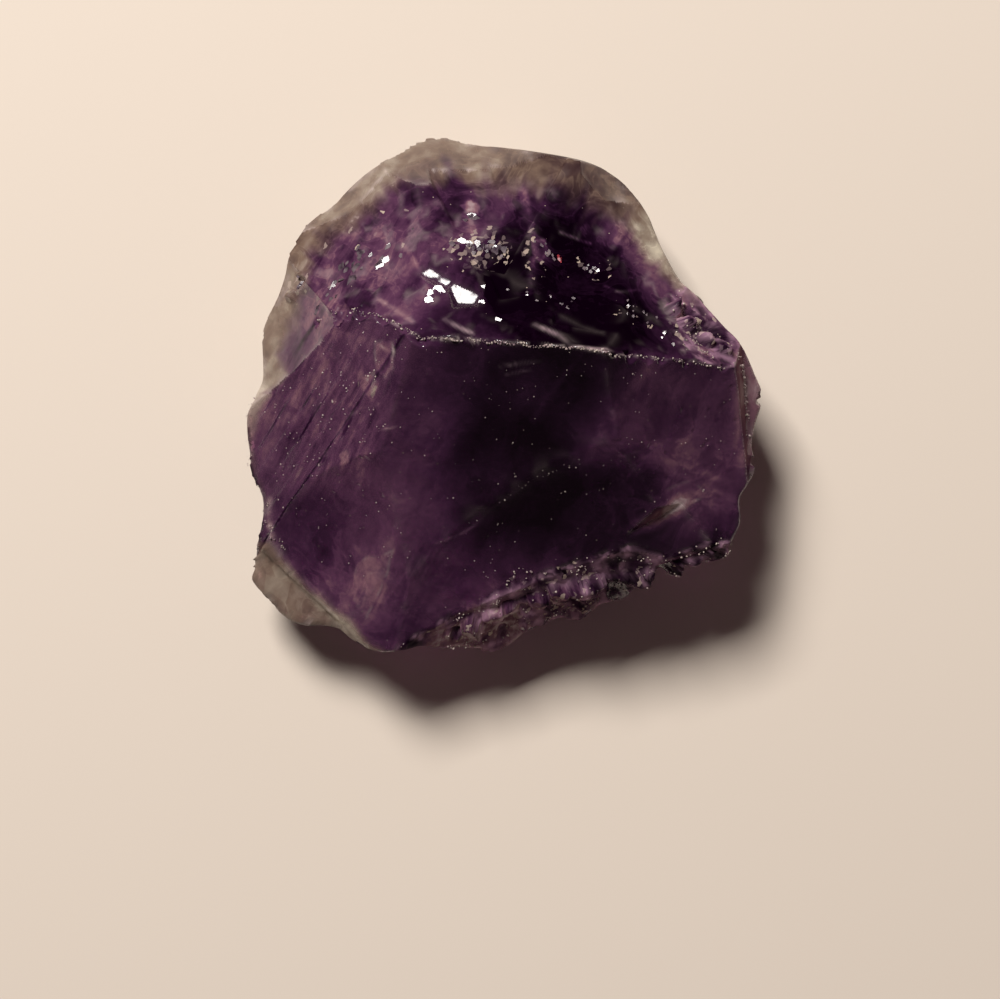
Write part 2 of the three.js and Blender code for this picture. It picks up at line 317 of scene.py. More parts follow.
# The rim is the chunk's outline seen from above, [x, y, height], anticlockwise from the east
RIM: list[Vec3] = [
    (19.9, -0.1, 8.6), (19.3, 1.6, 8.6), (18.1, 4.0, 8.5), (16.5, 5.7, 8.2), (14.9, 7.6, 7.7),
    (13.6, 8.9, 7.2), (12.5, 10.9, 6.7), (11.6, 12.9, 6.3), (11.0, 14.3, 6.0), (9.8, 16.0, 5.7),
    (8.5, 17.2, 5.3), (7.4, 17.9, 5.1), (5.0, 18.65, 4.8), (2.1, 19.15, 4.6), (-0.4, 19.45, 4.6),
    (-2.0, 19.65, 4.6), (-3.5, 20.05, 4.7), (-4.7, 20.35, 4.8), (-5.8, 20.25, 4.9), (-7.1, 19.65, 5.1),
    (-8.4, 18.85, 5.3), (-10.0, 17.9, 5.5), (-11.3, 16.9, 5.7), (-12.4, 15.8, 5.9), (-13.4, 14.7, 6.1),
    (-14.9, 13.7, 6.2), (-15.6, 12.9, 6.3), (-16.1, 11.9, 6.4), (-16.7, 10.8, 6.4), (-17.0, 9.3, 6.5),
    (-17.6, 7.5, 6.6), (-18.4, 5.9, 6.7), (-18.8, 4.4, 6.8), (-18.7, 2.7, 6.8), (-18.7, 1.2, 6.8),
    (-19.2, -0.1, 6.7), (-19.9, -1.5, 6.6), (-20.0, -3.0, 6.5), (-19.8, -4.6, 6.5), (-19.6, -6.2, 6.4),
    (-19.0, -7.4, 6.3), (-18.7, -8.9, 6.2), (-19.1, -10.8, 5.9), (-19.5, -12.3, 5.6), (-19.5, -13.4, 5.5),
    (-19.8, -14.3, 5.3), (-19.4, -15.0, 5.2), (-18.2, -16.1, 5.2), (-17.5, -17.0, 5.3), (-16.6, -17.6, 5.4),
    (-15.5, -17.9, 5.6), (-14.1, -17.9, 5.9), (-12.9, -18.1, 6.3), (-11.9, -18.9, 6.7), (-10.9, -19.5, 7.0),
    (-9.4, -19.9, 7.2), (-7.7, -19.7, 7.2), (-6.5, -19.4, 7.1), (-4.8, -19.6, 6.8), (-3.4, -19.5, 6.3),
    (-1.9, -19.9, 5.7), (-0.5, -20.0, 5.3), (0.6, -19.4, 5.5), (1.7, -18.5, 5.9), (3.2, -17.8, 6.4),
    (4.3, -17.3, 6.8), (5.8, -17.5, 6.8), (6.8, -16.9, 7.2), (7.5, -16.2, 7.5), (9.0, -15.8, 7.8),
    (10.1, -14.8, 8.2), (11.4, -13.6, 8.6), (12.4, -13.1, 8.8), (13.6, -12.7, 8.9), (15.2, -12.8, 8.9),
    (16.5, -12.4, 9.0), (17.3, -11.7, 9.1), (17.7, -10.9, 9.2), (18.1, -9.8, 9.2), (18.1, -8.0, 9.2),
    (18.7, -7.0, 9.1), (19.2, -6.1, 9.0), (19.3, -5.1, 8.9), (19.1, -4.1, 8.8), (19.3, -2.6, 8.7),
]

# The crest parts the long smooth face from the broken upper side, from west to east
CREST: list[Vec3] = [
    (-14.5, 5.5, 11.9), (-11.5, 6.1, 14.5), (-8.6, 5.3, 16.9), (-6.3, 3.9, 18.6), (-2.5, 3.6, 19.1),
    (2.0, 3.3, 19.4), (6.5, 2.9, 19.8), (8.2, 2.5, 19.3), (9.5, 2.6, 18.0), (13.0, 2.3, 15.8),
    (17.0, 1.9, 13.3),
]

# The large fractures
FACES = {name: Fracture(*row) for name, row in {
    "main_face": ((1.5, -6.0, 15.0), 23.5, -106, 140),
    "right_shoulder": ((14.5, -2.0, 13.5), 32, -23, 60),
    "lower_scar": ((4.5, -11.0, 12.2), 28.5, -94, 75),
    "left_slope": ((-13.0, -1.0, 12.8), 36, 197, 90, Skin.STRIATED),
    "left_dish": ((-13.4, -10.2, 9.6), 30, 222, 34),
    "toe_slope": ((-11.9, -15.1, 9.1), 25.4, 228, 60),
    "crust_west": ((-0.6, -17.8, 7.6), 46, -73, 50, Skin.CRUSTED),
    "crust_middle": ((6.0, -15.3, 8.9), 44, -82, 50, Skin.CRUSTED),
    "crust_east": ((12.5, -13.2, 10.3), 62, -69, 50, Skin.CRUSTED),
    "upper_middle": ((0.5, 10.0, 13.3), 38, 88, 60, Skin.CHIPPED),
    "upper_hollow": ((5.8, 8.3, 12.9), 42, 70, 20, Skin.CHIPPED),
    "upper_left": ((-7.8, 10.0, 13.1), 38, 115, 45, Skin.CHIPPED),
    "shoulder_left": ((-13.0, 10.0, 10.7), 42.4, 139, 50, Skin.CHIPPED),
    "upper_right": ((11.8, 5.8, 12.8), 47.8, 57, 40, Skin.CHIPPED),
    "east_crust": ((15.0, 4.2, 12.0), 52, 54, 18, Skin.CRUSTED),
    "northeast": ((9.3, 12.6, 9.7), 46, 52, 40, Skin.FROSTED),
    "top_skin": ((-0.3, 17.7, 8.1), 51, 94, 120, Skin.FROSTED),
    "northwest_skin": ((-12.0, 14.6, 8.5), 54, 130, 70, Skin.FROSTED),
    "left_skin": ((-17.0, 2.8, 9.5), 49.4, 165, 80, Skin.FROSTED),
    "left_flank": ((-18.9, -3.3, 8.8), 58, 185, 40, Skin.FROSTED),
}.items()}

# Flat fractures under the rim, each just clear of it: bearing, tilt and clearance
UNDERCUTS = [
    (-100, 130, 0.3), (-73, 136, 0.2), (-50, 139, 0.3), (-24, 137, 0.3), (0, 131, 0.2),
    (27, 126, 0.3), (50, 131, 0.4), (76, 124, 0.3), (101, 129, 0.4), (127, 124, 0.4),
    (152, 130, 0.5), (177, 125, 0.3), (203, 133, 0.4), (229, 127, 0.3),
]

# Notches: what lies outside every face of a set is gone
NOTCHES: list[tuple[Skin, list[Fracture]]] = [
    (Skin.FROSTED, [Fracture((-15.0, -14.8, 9.0), 72, 226), Fracture((-16.6, -15.5, 6.5), 18, 215)]),
    (Skin.LEDGE, [Fracture((18.15, 0.0, 11.0), 74, 3), Fracture((19.0, 0.0, 9.6), 26, 2)]),
    (Skin.LEDGE, [Fracture((14.0, -8.4, 12.4), 62, -62), Fracture((14.4, -9.6, 12.3), 24, -70)]),
]

# Small steps of the upper side: the middle of the floor's inner edge, the way it opens, half its width,
# and its skin. The glassy floors lean just so that they mirror the lamp.
STEPS = [
    ((-4.1, 7.9, 15.05), 128, 0.22, Skin.GLASSY), ((-2.85, 6.35, 15.85), 90, 0.7, Skin.GLASSY),
    ((-6.1, 6.4, 16.3), 108, 0.9, Skin.CHIPPED), ((-1.2, 9.2, 13.6), 78, 1.2, Skin.CHIPPED),
    ((-2.6, 12.8, 11.2), 96, 1.1, Skin.CHIPPED), ((1.2, 7.2, 15.4), 98, 1.4, Skin.CHIPPED),
    ((-8.6, 8.4, 13.8), 128, 1.5, Skin.CHIPPED), ((-11.6, 9.0, 12.1), 140, 1.5, Skin.CHIPPED),
    ((-9.4, 12.2, 11.1), 120, 1.2, Skin.CHIPPED), ((9.4, 6.0, 13.9), 52, 1.3, Skin.CHIPPED),
    ((5.6, 4.6, 16.95), 80, 1.8, Skin.CHIPPED), ((2.4, 12.2, 11.6), 92, 1.5, Skin.CHIPPED),
]
MIRROR_LEAN = (18, 119)
STEP_FLOOR = 32
STEP_WALL = 80

# Hollows in the crust and on the broken sides: x, y, z, radius
PITS = [
    (5.4, -17.4, 8.9, 1.5), (8.4, -15.9, 9.7, 1.3), (-0.9, -19.4, 8.4, 1.0), (1.9, -17.2, 9.7, 0.9),
    (15.9, 5.3, 11.5, 1.2), (14.1, 6.7, 11.5, 0.9), (-16.2, 8.6, 9.9, 0.9), (12.4, -13.6, 10.4, 0.8),
]

# Lumps left on the crust: place, half sizes and turn in degrees
LUMPS = [
    ((6.4, -14.4, 9.3), (2.1, 1.0, 0.8), 12), ((16.2, -11.9, 9.9), (1.1, 0.8, 0.9), 30),
    ((-2.4, 3.6, 18.6), (0.7, 0.45, 0.6), 0), ((-16.2, 7.6, 8.9), (0.7, 0.5, 0.4), 40),
]

# Smaller lumps lie along the two crusts, from west to east
LOWER_CRUST: list[Vec3] = [
    (-4.2, -18.3, 8.2), (0.2, -16.2, 8.9), (4.6, -14.9, 9.4), (9.2, -14.1, 9.9), (13.0, -12.8, 10.4),
    (16.9, -11.2, 10.4),
]
EAST_CRUST: list[Vec3] = [(12.9, 6.4, 12.3), (14.6, 4.8, 12.3), (16.4, 3.0, 12.0), (17.9, 1.0, 11.2)]


@dataclass(frozen=True)
class Feather:
    """A pale healed crack, streak or crushed line that shows in the surface.

    Attributes:
        line: The points it runs through, in mm.
        width: Its half width, in mm.
        pale: How pale it is, from 0 to 1, or how dark below 0.
        crushed: How crushed and white its grains are, from 0 to 1.
    """

    line: tuple[Vec3, ...]
    width: float
    pale: float
    crushed: float = 0.0


@dataclass(frozen=True)
class ColourZone:
    """A soft zone inside the stone where its purple is paler or deeper; one of them paints light onto a shaded wall.

    Attributes:
        at: Its middle, in mm.
        radii: Its half sizes, in mm.
        turn: Its turn about the upright, in degrees.
        tone: What it adds to the tone, from -1, deeper, to 1, paler.
    """

    at: Vec3
    radii: Vec3
    turn: float
    tone: float

    def strength(self, points: Array) -> Array:
        """Gives how strongly the zone holds at points in mm, from 0 to 1."""
        local = (points - np.array(self.at)) @ turned(math.radians(self.turn)) / np.array(self.radii)
        return ramp(1.25, 0.45, np.linalg.norm(local, axis=1))


@dataclass(frozen=True)
class PaleFacet:
    """A small fracture face of its own tone, with sharp edges.

    Attributes:
        corners: Its corners seen from above, anticlockwise or clockwise, in mm.
        tone: What it adds to the tone.
        edge: How crushed the line along its edge is, from 0 to 1.
    """

    corners: tuple[tuple[float, float], ...]
    tone: float
    edge: float = 0.0

    def inside(self, points: Array, noise: Noise) -> Array:
        """Measures how far points lie inside the facet.

        Args:
            points: The places, in mm.
            noise: What its edges waver with.

        Returns:
            The distance from its nearest edge, in mm, below zero outside.
        """
        ring = np.array(self.corners)
        middle = ring.mean(axis=0)
        depth = np.full(len(points), FAR)
        for a, b in zip(ring, np.roll(ring, -1, axis=0)):
            across = np.array([b[1] - a[1], a[0] - b[0]]) / max(float(np.linalg.norm(b - a)), 1e-6)
            across *= np.sign(across @ (middle - a))
            depth = np.minimum(depth, (points[:, :2] - a) @ across)
        return np.where(points[:, 2] > 5.0, depth + 0.12 * noise.at(points, 0.7), -9.0)


PALE_FACETS = [PaleFacet(*row) for row in (
    (((-11.2, -12.7), (-9.9, -12.4), (-8.5, -11.9), (-9.0, -14.1), (-10.6, -17.2), (-11.9, -15.4)), 0.07, 0.3),
    (((-11.2, -12.8), (-9.9, -12.5), (-9.3, -13.6), (-9.5, -15.0), (-10.9, -15.2), (-11.8, -14.0)), 0.05),
    (((-11.0, 1.0), (-10.0, 1.4), (-9.2, 0.9), (-9.4, -0.1), (-10.2, -0.4), (-10.7, 0.3)), 0.14, 0.1),
    (((-12.6, -4.6), (-11.9, -4.4), (-11.7, -5.3), (-12.3, -5.6)), 0.18, 0.1),
    (((-9.6, 3.6), (-8.3, 3.7), (-8.2, 1.6), (-8.9, 1.1), (-9.6, 1.6)), 0.14, 0.5),
    (((2.1, 11.6), (3.2, 11.8), (3.4, 10.7), (2.7, 9.9), (2.1, 10.5)), 0.42),
    (((-3.5, 14.4), (-2.6, 14.9), (-1.8, 14.4), (-2.0, 13.7), (-2.9, 13.9)), 0.3, 0.3),
    (((-1.5, 8.7), (0.4, 8.4), (1.5, 6.8), (1.2, 4.6), (-0.3, 5.3), (-1.4, 7.1)), -0.5),
    (((10.7, -3.7), (14.0, -3.4), (15.3, -5.3), (14.0, -5.9), (11.3, -4.8)), 0.05),
    (((12.2, -7.4), (14.1, -6.6), (15.4, -7.6), (14.1, -8.6), (12.1, -9.4)), 0.10, 0.2),
    (((-14.0, 11.1), (-11.8, 12.9), (-10.1, 12.0), (-11.5, 8.8), (-13.2, 7.8)), 0.08),
    (((-11.7, 14.6), (-8.6, 15.2), (-7.9, 13.1), (-10.1, 12.0)), -0.05),
    (((-15.7, 10.2), (-14.3, 10.6), (-13.8, 7.0), (-15.1, 5.9)), 0.06),
)]

FEATHERS = [Feather(*row) for row in (
    (((-4.4, 5.3, 17.9), (-3.4, 4.7, 18.4), (-2.4, 4.1, 18.8)), 0.18, 0.4, 0.35),
    (((2.3, 4.8, 17.9), (4.1, 4.0, 18.9), (5.2, 3.2, 19.8), (7.9, 2.9, 19.1)), 0.2, 0.55, 0.3),
    (((-0.3, 1.7, 18.4), (1.2, 1.9, 18.6), (2.6, 2.0, 18.9)), 0.1, 0.3, 0.3),
    (((0.1, 1.1, 18.1), (1.9, 1.4, 18.5)), 0.09, 0.3, 0.2),
    (((5.0, 1.7, 19.1), (4.1, 0.6, 18.4), (3.0, -0.9, 17.6), (2.1, -2.3, 16.8)), 0.2, 0.15),
    (((10.7, 1.5, 17.0), (9.5, 0.0, 17.4), (8.0, -2.1, 17.8), (7.1, -3.2, 17.1)), 0.7, 0.22),
    (((10.4, -4.4, 15.6), (8.6, -4.9, 16.2), (5.7, -5.3, 15.8), (3.6, -6.2, 15.2), (1.5, -7.2, 14.5),
      (-0.7, -8.7, 13.6), (-2.7, -10.4, 12.7), (-5.2, -11.5, 12.3)), 0.12, 0.2, 0.1),
    (((1.6, 15.7, 9.4), (2.0, 13.2, 11.1), (2.3, 10.8, 12.5), (2.1, 8.4, 14.6), (1.9, 7.2, 15.5)), 0.35, 0.4),
    (((2.1, 11.8, 12.0), (3.2, 11.5, 11.6), (3.2, 10.2, 12.5), (2.3, 9.8, 13.2)), 0.5, 0.35),
    (((4.3, 12.3, 10.8), (5.4, 11.9, 10.6), (6.6, 11.5, 10.5)), 0.14, 0.45),
    (((7.6, 8.1, 12.7), (8.8, 7.6, 12.9), (10.3, 7.8, 12.0)), 0.14, 0.3),
    (((10.4, -4.9, 15.5), (12.5, -5.3, 14.1), (14.8, -5.9, 12.6), (17.2, -6.9, 11.2)), 0.3, 0.16),
    (((10.9, -5.6, 15.1), (13.3, -6.3, 13.5), (15.6, -7.2, 12.0), (17.6, -8.1, 10.8)), 0.25, 0.2),
    (((11.7, -6.6, 14.4), (14.1, -7.4, 12.8), (16.5, -8.1, 11.4)), 0.2, 0.14),
    (((12.0, -9.3, 12.6), (13.7, -8.5, 12.5), (15.3, -7.9, 12.1)), 0.12, 0.12, 0.35),
    (((-8.4, -11.9, 11.7), (-8.7, -13.5, 11.0), (-9.2, -15.0, 10.2), (-9.9, -16.6, 9.4)), 0.12, 0.2),
    (((-18.0, -8.1, 7.4), (-18.2, -9.7, 7.1), (-18.0, -11.2, 7.7), (-17.4, -12.2, 7.6)), 0.35, 0.4, 0.4),
    (((-17.8, -12.0, 7.5), (-15.8, -14.3, 7.5), (-13.5, -15.9, 8.0), (-12.4, -18.2, 7.1)), 0.2, 0.2, 0.2),
    (((-14.3, 5.4, 11.9), (-15.6, 3.3, 10.7), (-16.8, 1.2, 9.4), (-17.9, -1.3, 8.2)), 0.2, -0.6),
    (((-13.4, 4.4, 12.6), (-14.6, 2.5, 11.4), (-15.6, 1.0, 10.4), (-17.3, -1.2, 8.7)), 0.16, -0.5),
    (((-9.6, 5.5, 15.9), (-10.7, 4.0, 14.9), (-11.4, 2.6, 14.2)), 0.16, -0.4),
    (((-15.6, 2.9, 10.7), (-17.0, 0.6, 9.3), (-17.9, -1.3, 8.2), (-18.7, -2.9, 7.4)), 0.16, -0.5),
    (((-12.2, 3.2, 13.5), (-13.8, 0.4, 12.0), (-15.5, -2.5, 10.2)), 0.14, -0.35),
    (((-9.6, -1.5, 15.3), (-11.0, -4.0, 13.8), (-12.4, -6.6, 12.0)), 0.16, -0.3),
    (((-15.6, -3.5, 10.0), (-16.5, -4.9, 9.1), (-17.3, -6.2, 8.3)), 0.12, 0.3, 0.3),
    (((-15.5, -5.7, 9.9), (-16.3, -7.0, 9.0), (-16.9, -8.1, 8.3)), 0.12, 0.3, 0.3),
    (((-11.6, -1.7, 13.7), (-10.4, -1.2, 14.8), (-9.4, -1.0, 15.5)), 0.12, 0.25, 0.1),
    (((-9.4, -2.9, 15.2), (-8.1, -2.7, 15.7)), 0.1, 0.25, 0.2),
    (((-10.8, 1.3, 14.6), (-9.9, 0.5, 15.6), (-10.3, -0.3, 15.0)), 0.35, 0.2),
    (((-9.2, 3.4, 16.1), (-8.3, 2.2, 17.2), (-8.9, 0.9, 16.4)), 0.16, 0.25, 0.1),
    (((-2.6, 14.9, 10.1), (-2.6, 14.3, 10.3), (-2.5, 13.3, 10.6), (-2.4, 12.2, 11.9)), 0.45, 0.35),
    (((-13.4, 11.8, 9.5), (-11.8, 12.1, 10.4), (-10.1, 12.7, 10.7)), 0.2, 0.2),
    (((-12.1, 10.0, 11.3), (-10.7, 8.9, 13.2), (-9.7, 7.5, 13.7)), 0.2, 0.2),
    (((-7.9, 11.6, 12.1), (-6.7, 9.8, 13.7), (-5.7, 7.6, 15.5)), 0.2, 0.2),
    (((-9.3, 6.8, 15.1), (-7.7, 5.8, 16.5), (-6.8, 5.0, 17.7)), 0.2, 0.25, 0.1),
)]

ZONES = [ColourZone(*row) for row in (
    ((4.6, 7.0, 13.5), (6.5, 8.0, 8.0), 10, -0.60),
    ((2.2, 0.5, 17.5), (7.5, 6.0, 8.0), 25, -0.28),
    ((0.5, -6.5, 15.0), (5.5, 6.0, 6.0), 60, -0.26),
    ((6.0, -9.5, 13.0), (9.5, 4.4, 6.0), 14, -0.28),
    ((-13.5, -10.0, 9.0), (4.4, 4.4, 5.0), 0, -0.08),
    ((-13.0, 1.0, 12.5), (6.5, 9.0, 6.0), -30, 0.12),
    ((-11.0, -15.0, 9.5), (4.6, 4.2, 4.5), 0, 0.13),
    ((14.5, -6.8, 12.5), (6.0, 4.4, 4.5), -10, 0.13),
    ((-11.5, 10.5, 11.0), (8.0, 6.5, 6.0), 20, 0.10),
    ((12.0, 10.5, 10.0), (4.0, 7.5, 6.0), 30, 0.20),
    ((18.8, 0.0, 10.0), (2.0, 6.5, 4.0), 0, 0.34),
    ((-2.0, 9.5, 13.5), (3.0, 2.6, 4.0), 0, -0.14),
    ((-11.0, -8.5, 11.5), (7.0, 5.0, 5.0), 0, 0.07),
    # Painted light on the wall of the east ledge notch, which faces away from the lamp
    ((11.8, -9.1, 12.6), (3.0, 1.0, 1.5), 28, 0.4),
    ((11.5, 4.6, 14.2), (3.4, 3.2, 4.0), -10, -0.22),
    ((-3.5, 4.9, 17.0), (3.6, 2.2, 4.0), 0, -0.22),
    ((9.0, -5.8, 15.5), (3.2, 1.8, 3.0), 15, -0.12),
    ((-14.0, 13.2, 8.8), (4.2, 2.6, 4.0), 45, -0.20),
    ((-2.0, 17.8, 7.0), (7.0, 2.2, 4.0), 0, -0.04),
    ((-19.2, -2.0, 7.5), (2.4, 5.0, 4.0), 0, 0.18),
    ((5.0, 16.8, 7.0), (6.5, 4.0, 5.0), -20, -0.28),
    ((-1.5, -18.2, 7.5), (4.5, 2.5, 4.0), 0, 0.32),
    ((13.5, -12.5, 9.5), (6.0, 3.0, 3.0), 15, -0.18),
)]

# Where the fine marks are dense: the amount everywhere, then zones that add to it
MARKS = {name: (everywhere, [ColourZone(*row) for row in rows]) for name, everywhere, rows in (
    # Painted glints on small facets, with tiny pale specks
    ("glints_and_specks", 0.0, (
        ((-1.9, 10.9, 12.9), (2.6, 2.0, 4.0), 0, 0.75), ((2.4, 10.6, 12.6), (1.2, 2.6, 4.0), 0, 0.25),
        ((6.6, 9.7, 11.7), (1.6, 1.0, 3.0), -20, 0.35), ((-11.0, 10.0, 11.5), (5.5, 4.5, 5.0), 0, 0.03),
        ((-16.2, 8.2, 9.3), (1.4, 1.4, 2.5), 0, 0.5), ((-9.9, 0.5, 15.0), (0.8, 1.2, 3.0), -20, 0.3),
        ((14.8, 4.6, 12.4), (2.6, 2.6, 3.0), 0, 0.4), ((9.5, 5.6, 14.0), (1.6, 1.4, 3.0), 0, 0.15),
        ((4.0, -16.0, 9.0), (11.0, 3.0, 3.0), 18, 0.35),
    )),
    ("facets", 0.08, (
        ((-10.0, 10.0, 12.0), (9.0, 6.0, 7.0), 10, 0.35), ((3.0, 10.0, 13.0), (9.0, 6.0, 7.0), 0, 0.3),
        ((-10.0, -15.0, 10.0), (5.0, 4.0, 5.0), 0, 0.3), ((-12.0, 0.0, 13.0), (4.0, 6.0, 6.0), -25, 0.3),
        ((5.0, -16.0, 9.0), (15.0, 4.0, 4.0), 18, 0.6), ((14.8, 4.6, 12.4), (3.6, 3.6, 3.0), 0, 0.5),
        ((-17.0, -16.0, 6.0), (4.0, 4.0, 4.0), 0, 0.5),
    )),
    ("streaks", 0.06, (
        ((-13.5, -1.0, 12.0), (6.5, 9.5, 8.0), -25, 0.55), ((-11.0, 9.5, 12.0), (6.0, 5.0, 6.0), 0, 0.3),
        ((-8.0, -14.0, 11.0), (6.0, 4.0, 4.0), 0, 0.2),
    )),
    ("veils", 0.4, (
        ((10.5, 9.5, 11.0), (6.0, 8.5, 7.0), 30, 0.9), ((0.0, 15.0, 9.0), (13.0, 4.5, 6.0), 0, 0.6),
        ((-12.5, 8.5, 11.0), (6.5, 6.0, 6.0), 0, 0.5), ((2.0, 10.0, 13.0), (3.0, 5.0, 6.0), 0, 0.7),
        ((13.0, -6.0, 13.0), (7.0, 7.0, 5.0), 0, 0.5), ((-14.0, -14.0, 8.0), (5.0, 5.0, 5.0), 0, 0.5),
        ((4.0, -16.0, 9.0), (13.0, 4.0, 4.0), 18, 0.4),
    )),
)}

# How far the frosted skin reaches in from the rim, by bearing, in mm
FROST_REACH = [
    (-180, 0.9), (-172, 0.6), (-160, 0.4), (-150, 0.3), (-60, 0.0), (15, 0.0), (40, 1.2), (55, 2.4), (70, 3.4),
    (100, 3.5), (125, 2.6), (145, 2.0), (160, 2.3), (172, 2.0), (180, 0.9),
]


def grains_along(points: list[Vec3], count: int, seed: int, sizes: tuple[float, float], lift: float,
                 closed: bool = False, bite: bool = False) -> list[Grain]:
    """Lays angular grains at seeded places along a line.

    Args:
        points: The line, in mm.
        count: How many grains.
        seed: What places and sizes are drawn from.
        sizes: The smallest and the largest radius, in mm.
        lift: How far each sits off the line, in its own radii, upwards or, on a closed line, outwards.
        closed: Whether the line is a ring.
        bite: Whether the grains are taken away.

    Returns:
        The grains.
    """
    line = smooth_line(points, closed)
    if closed:
        line = np.vstack([line, line[:1]])
    draw = Seeded(seed)
    grains = []
    for i in range(count):
        p = along(line, (i + draw.next()) / count)
        radius = sizes[0] + (sizes[1] - sizes[0]) * draw.next() ** 2
        way = math.atan2(p[1], p[0])
        p = p + radius * lift * (np.array([math.cos(way), math.sin(way), 0.0]) if closed else lean(0, 0))
        flat = (radius, radius * (0.7 + 0.3 * draw.next()), radius * (0.6 + 0.3 * draw.next()))
        draw.next()  # the solid's grains draw a lean here
        grains.append(Grain(tuple(p), flat, 6 * draw.next(), seed * 100 + i, bite))
    return grains


@dataclass
class BrokenStone:
    """The stone as one function of space: how far a point lies outside it, and on which face.

    Attributes:
        dome_rise: The uncut lump's height above its rim, in mm.
        belly_drop: Its depth below the rim, in mm.
        ledge_count: How many parallel growth ledges cross the left slope.
        ledge_start: The first ledge's distance from the origin along its bearing, in mm.
        ledge_spacing: The distance between two ledges, in mm.
        ledge_drop: How much lower each ledge lies, in mm.
        ledge_bearing: The way the ledges step down, in degrees.
        skins: The skin of each numbered face, set of faces and, last, of the grains.
        rim: The rim as rows of turn, reach and height, over three turns.
        faces: The faces, outside any of which the stone is gone.
        notches: The sets of faces, outside all of which it is gone, with their numbers.
        grains: The lumps and the bites.
    """

    dome_rise: float = 16.0
    belly_drop: float = 10.5
    ledge_count: int = 6
    ledge_start: float = 9.5
    ledge_spacing: float = 1.05
    ledge_drop: float = 0.05
    ledge_bearing: float = 150.0
    skins: list[Skin] = field(default_factory=list)
    rim: Array = field(init=False)
    faces: list[Fracture] = field(init=False)
    notches: list[tuple[int, list[Fracture]]] = field(init=False)
    grains: list[Grain] = field(init=False)

    def __post_init__(self) -> None:
        """Gathers the faces, notches and grains, each with the skin of its surface."""
        line = smooth_line(RIM, closed=True)
        turn = np.unwrap(np.arctan2(line[:, 1], line[:, 0]))
        order = np.argsort(turn)
        table = np.column_stack([turn, np.hypot(line[:, 0], line[:, 1]), line[:, 2]])[order]
        self.rim = np.vstack([table + (lap * 2 * math.pi, 0, 0) for lap in (-1, 0, 1)])
        self.faces = list(FACES.values())
        for bearing, tilt, clearance in UNDERCUTS:
            outward = lean(tilt, bearing)
            reach = float(np.max(line @ outward)) + clearance
            self.faces.append(Fracture(tuple(outward * reach), tilt, bearing, skin=Skin.UNDERSIDE))
        self.faces.append(Fracture((0, 0, 0), 180, 0, skin=Skin.UNDERSIDE))
        self.skins = [Skin.CLEAN] + [face.skin for face in self.faces]
        self.notches = []
        for skin, faces in NOTCHES:
            self.add_notch(skin, faces)
        self.add_ledges()
        for at, down, half, skin in STEPS:
            self.add_step(at, down, half, skin)
        self.grains = [Grain(at, size, math.radians(turn), 40 + i) for i, (at, size, turn) in enumerate(LUMPS)]
        self.grains += grains_along(LOWER_CRUST, 20, 5, (0.6, 1.2), -0.42)
        self.grains += grains_along(EAST_CRUST, 9, 9, (0.5, 1.0), -0.3)
        self.grains += [Grain((x, y, z), (r, r, r), 0, 60 + i, True) for i, (x, y, z, r) in enumerate(PITS)]
        self.grains += grains_along(CREST, 22, 7, (0.5, 1.1), 0.5, bite=True)
        self.grains += grains_along(RIM, 34, 11, (0.5, 1.2), 0.7, closed=True, bite=True)
        self.skins.append(Skin.CRUSTED)

    def add_notch(self, skin: Skin, faces: list[Fracture]) -> None:
        """Adds a set of faces outside all of which the stone is gone."""
        self.notches.append((len(self.skins), faces))
        self.skins.append(skin)

    def add_ledges(self) -> None:
        """Adds the parallel ledges of the left slope, each a little lower than the one before."""
        slope = FACES["left_slope"]
        across = lean(90, self.ledge_bearing)
        for i in range(self.ledge_count):
            wall = across * (self.ledge_start + i * self.ledge_spacing)
            shelf = np.array(slope.at) - lean(slope.tilt, slope.bearing) * self.ledge_drop * (i + 1)
            self.add_notch(Skin.STRIATED, [
                Fracture((wall[0], wall[1], 12.0), STEP_WALL, self.ledge_bearing),
                Fracture(tuple(shelf), slope.tilt, slope.bearing),
            ])

    def add_step(self, at: Vec3, down: float, half: float, skin: Skin) -> None:
        """Adds one small step of the upper side: a floor, a back wall and two side walls.

        Args:
            at: The middle of the floor's inner edge, in mm.
            down: The way it opens, in degrees.
            half: Half its width, in mm.
            skin: The skin of its floor and walls.
        """
        side = lean(90, down + 90) * half
        self.add_notch(skin, [
            Fracture(at, *(MIRROR_LEAN if skin == Skin.GLASSY else (STEP_FLOOR, down))),
            Fracture(at, STEP_WALL, down),
            Fracture(tuple(np.array(at) + side), STEP_WALL - 12, down - 58),
            Fracture(tuple(np.array(at) - side), STEP_WALL - 4, down + 66),
        ])

    def outside(self, points: Array) -> tuple[Array, Array, Array]:
        """Measures points against the stone.

        Args:
            points: The places, in mm.

        Returns:
            How far each lies outside the stone, the number of the face that decides it, and how far
            the next face lies behind it, which is small along an edge.
        """
        turn = np.arctan2(points[:, 1], points[:, 0])
        reach = np.interp(turn, self.rim[:, 0], self.rim[:, 1])
        height = points[:, 2] - np.interp(turn, self.rim[:, 0], self.rim[:, 2])
        height /= np.where(height > 0, self.dome_rise, self.belly_drop)
        value = (np.hypot(np.hypot(points[:, 0], points[:, 1]) / reach, height) - 1) * 9.0
        ident = np.zeros(len(points), dtype=int)
        second = np.full(len(points), -FAR)

        def cut(level: Array, number: int) -> None:
            """Takes away what lies outside a face.

            Args:
                level: How far each place lies outside it, in mm.
                number: The face's number.
            """
            nonlocal value, second
            more = level > value
            second = np.where(more, value, np.maximum(second, level))
            value = np.where(more, level, value)
            ident[more] = number

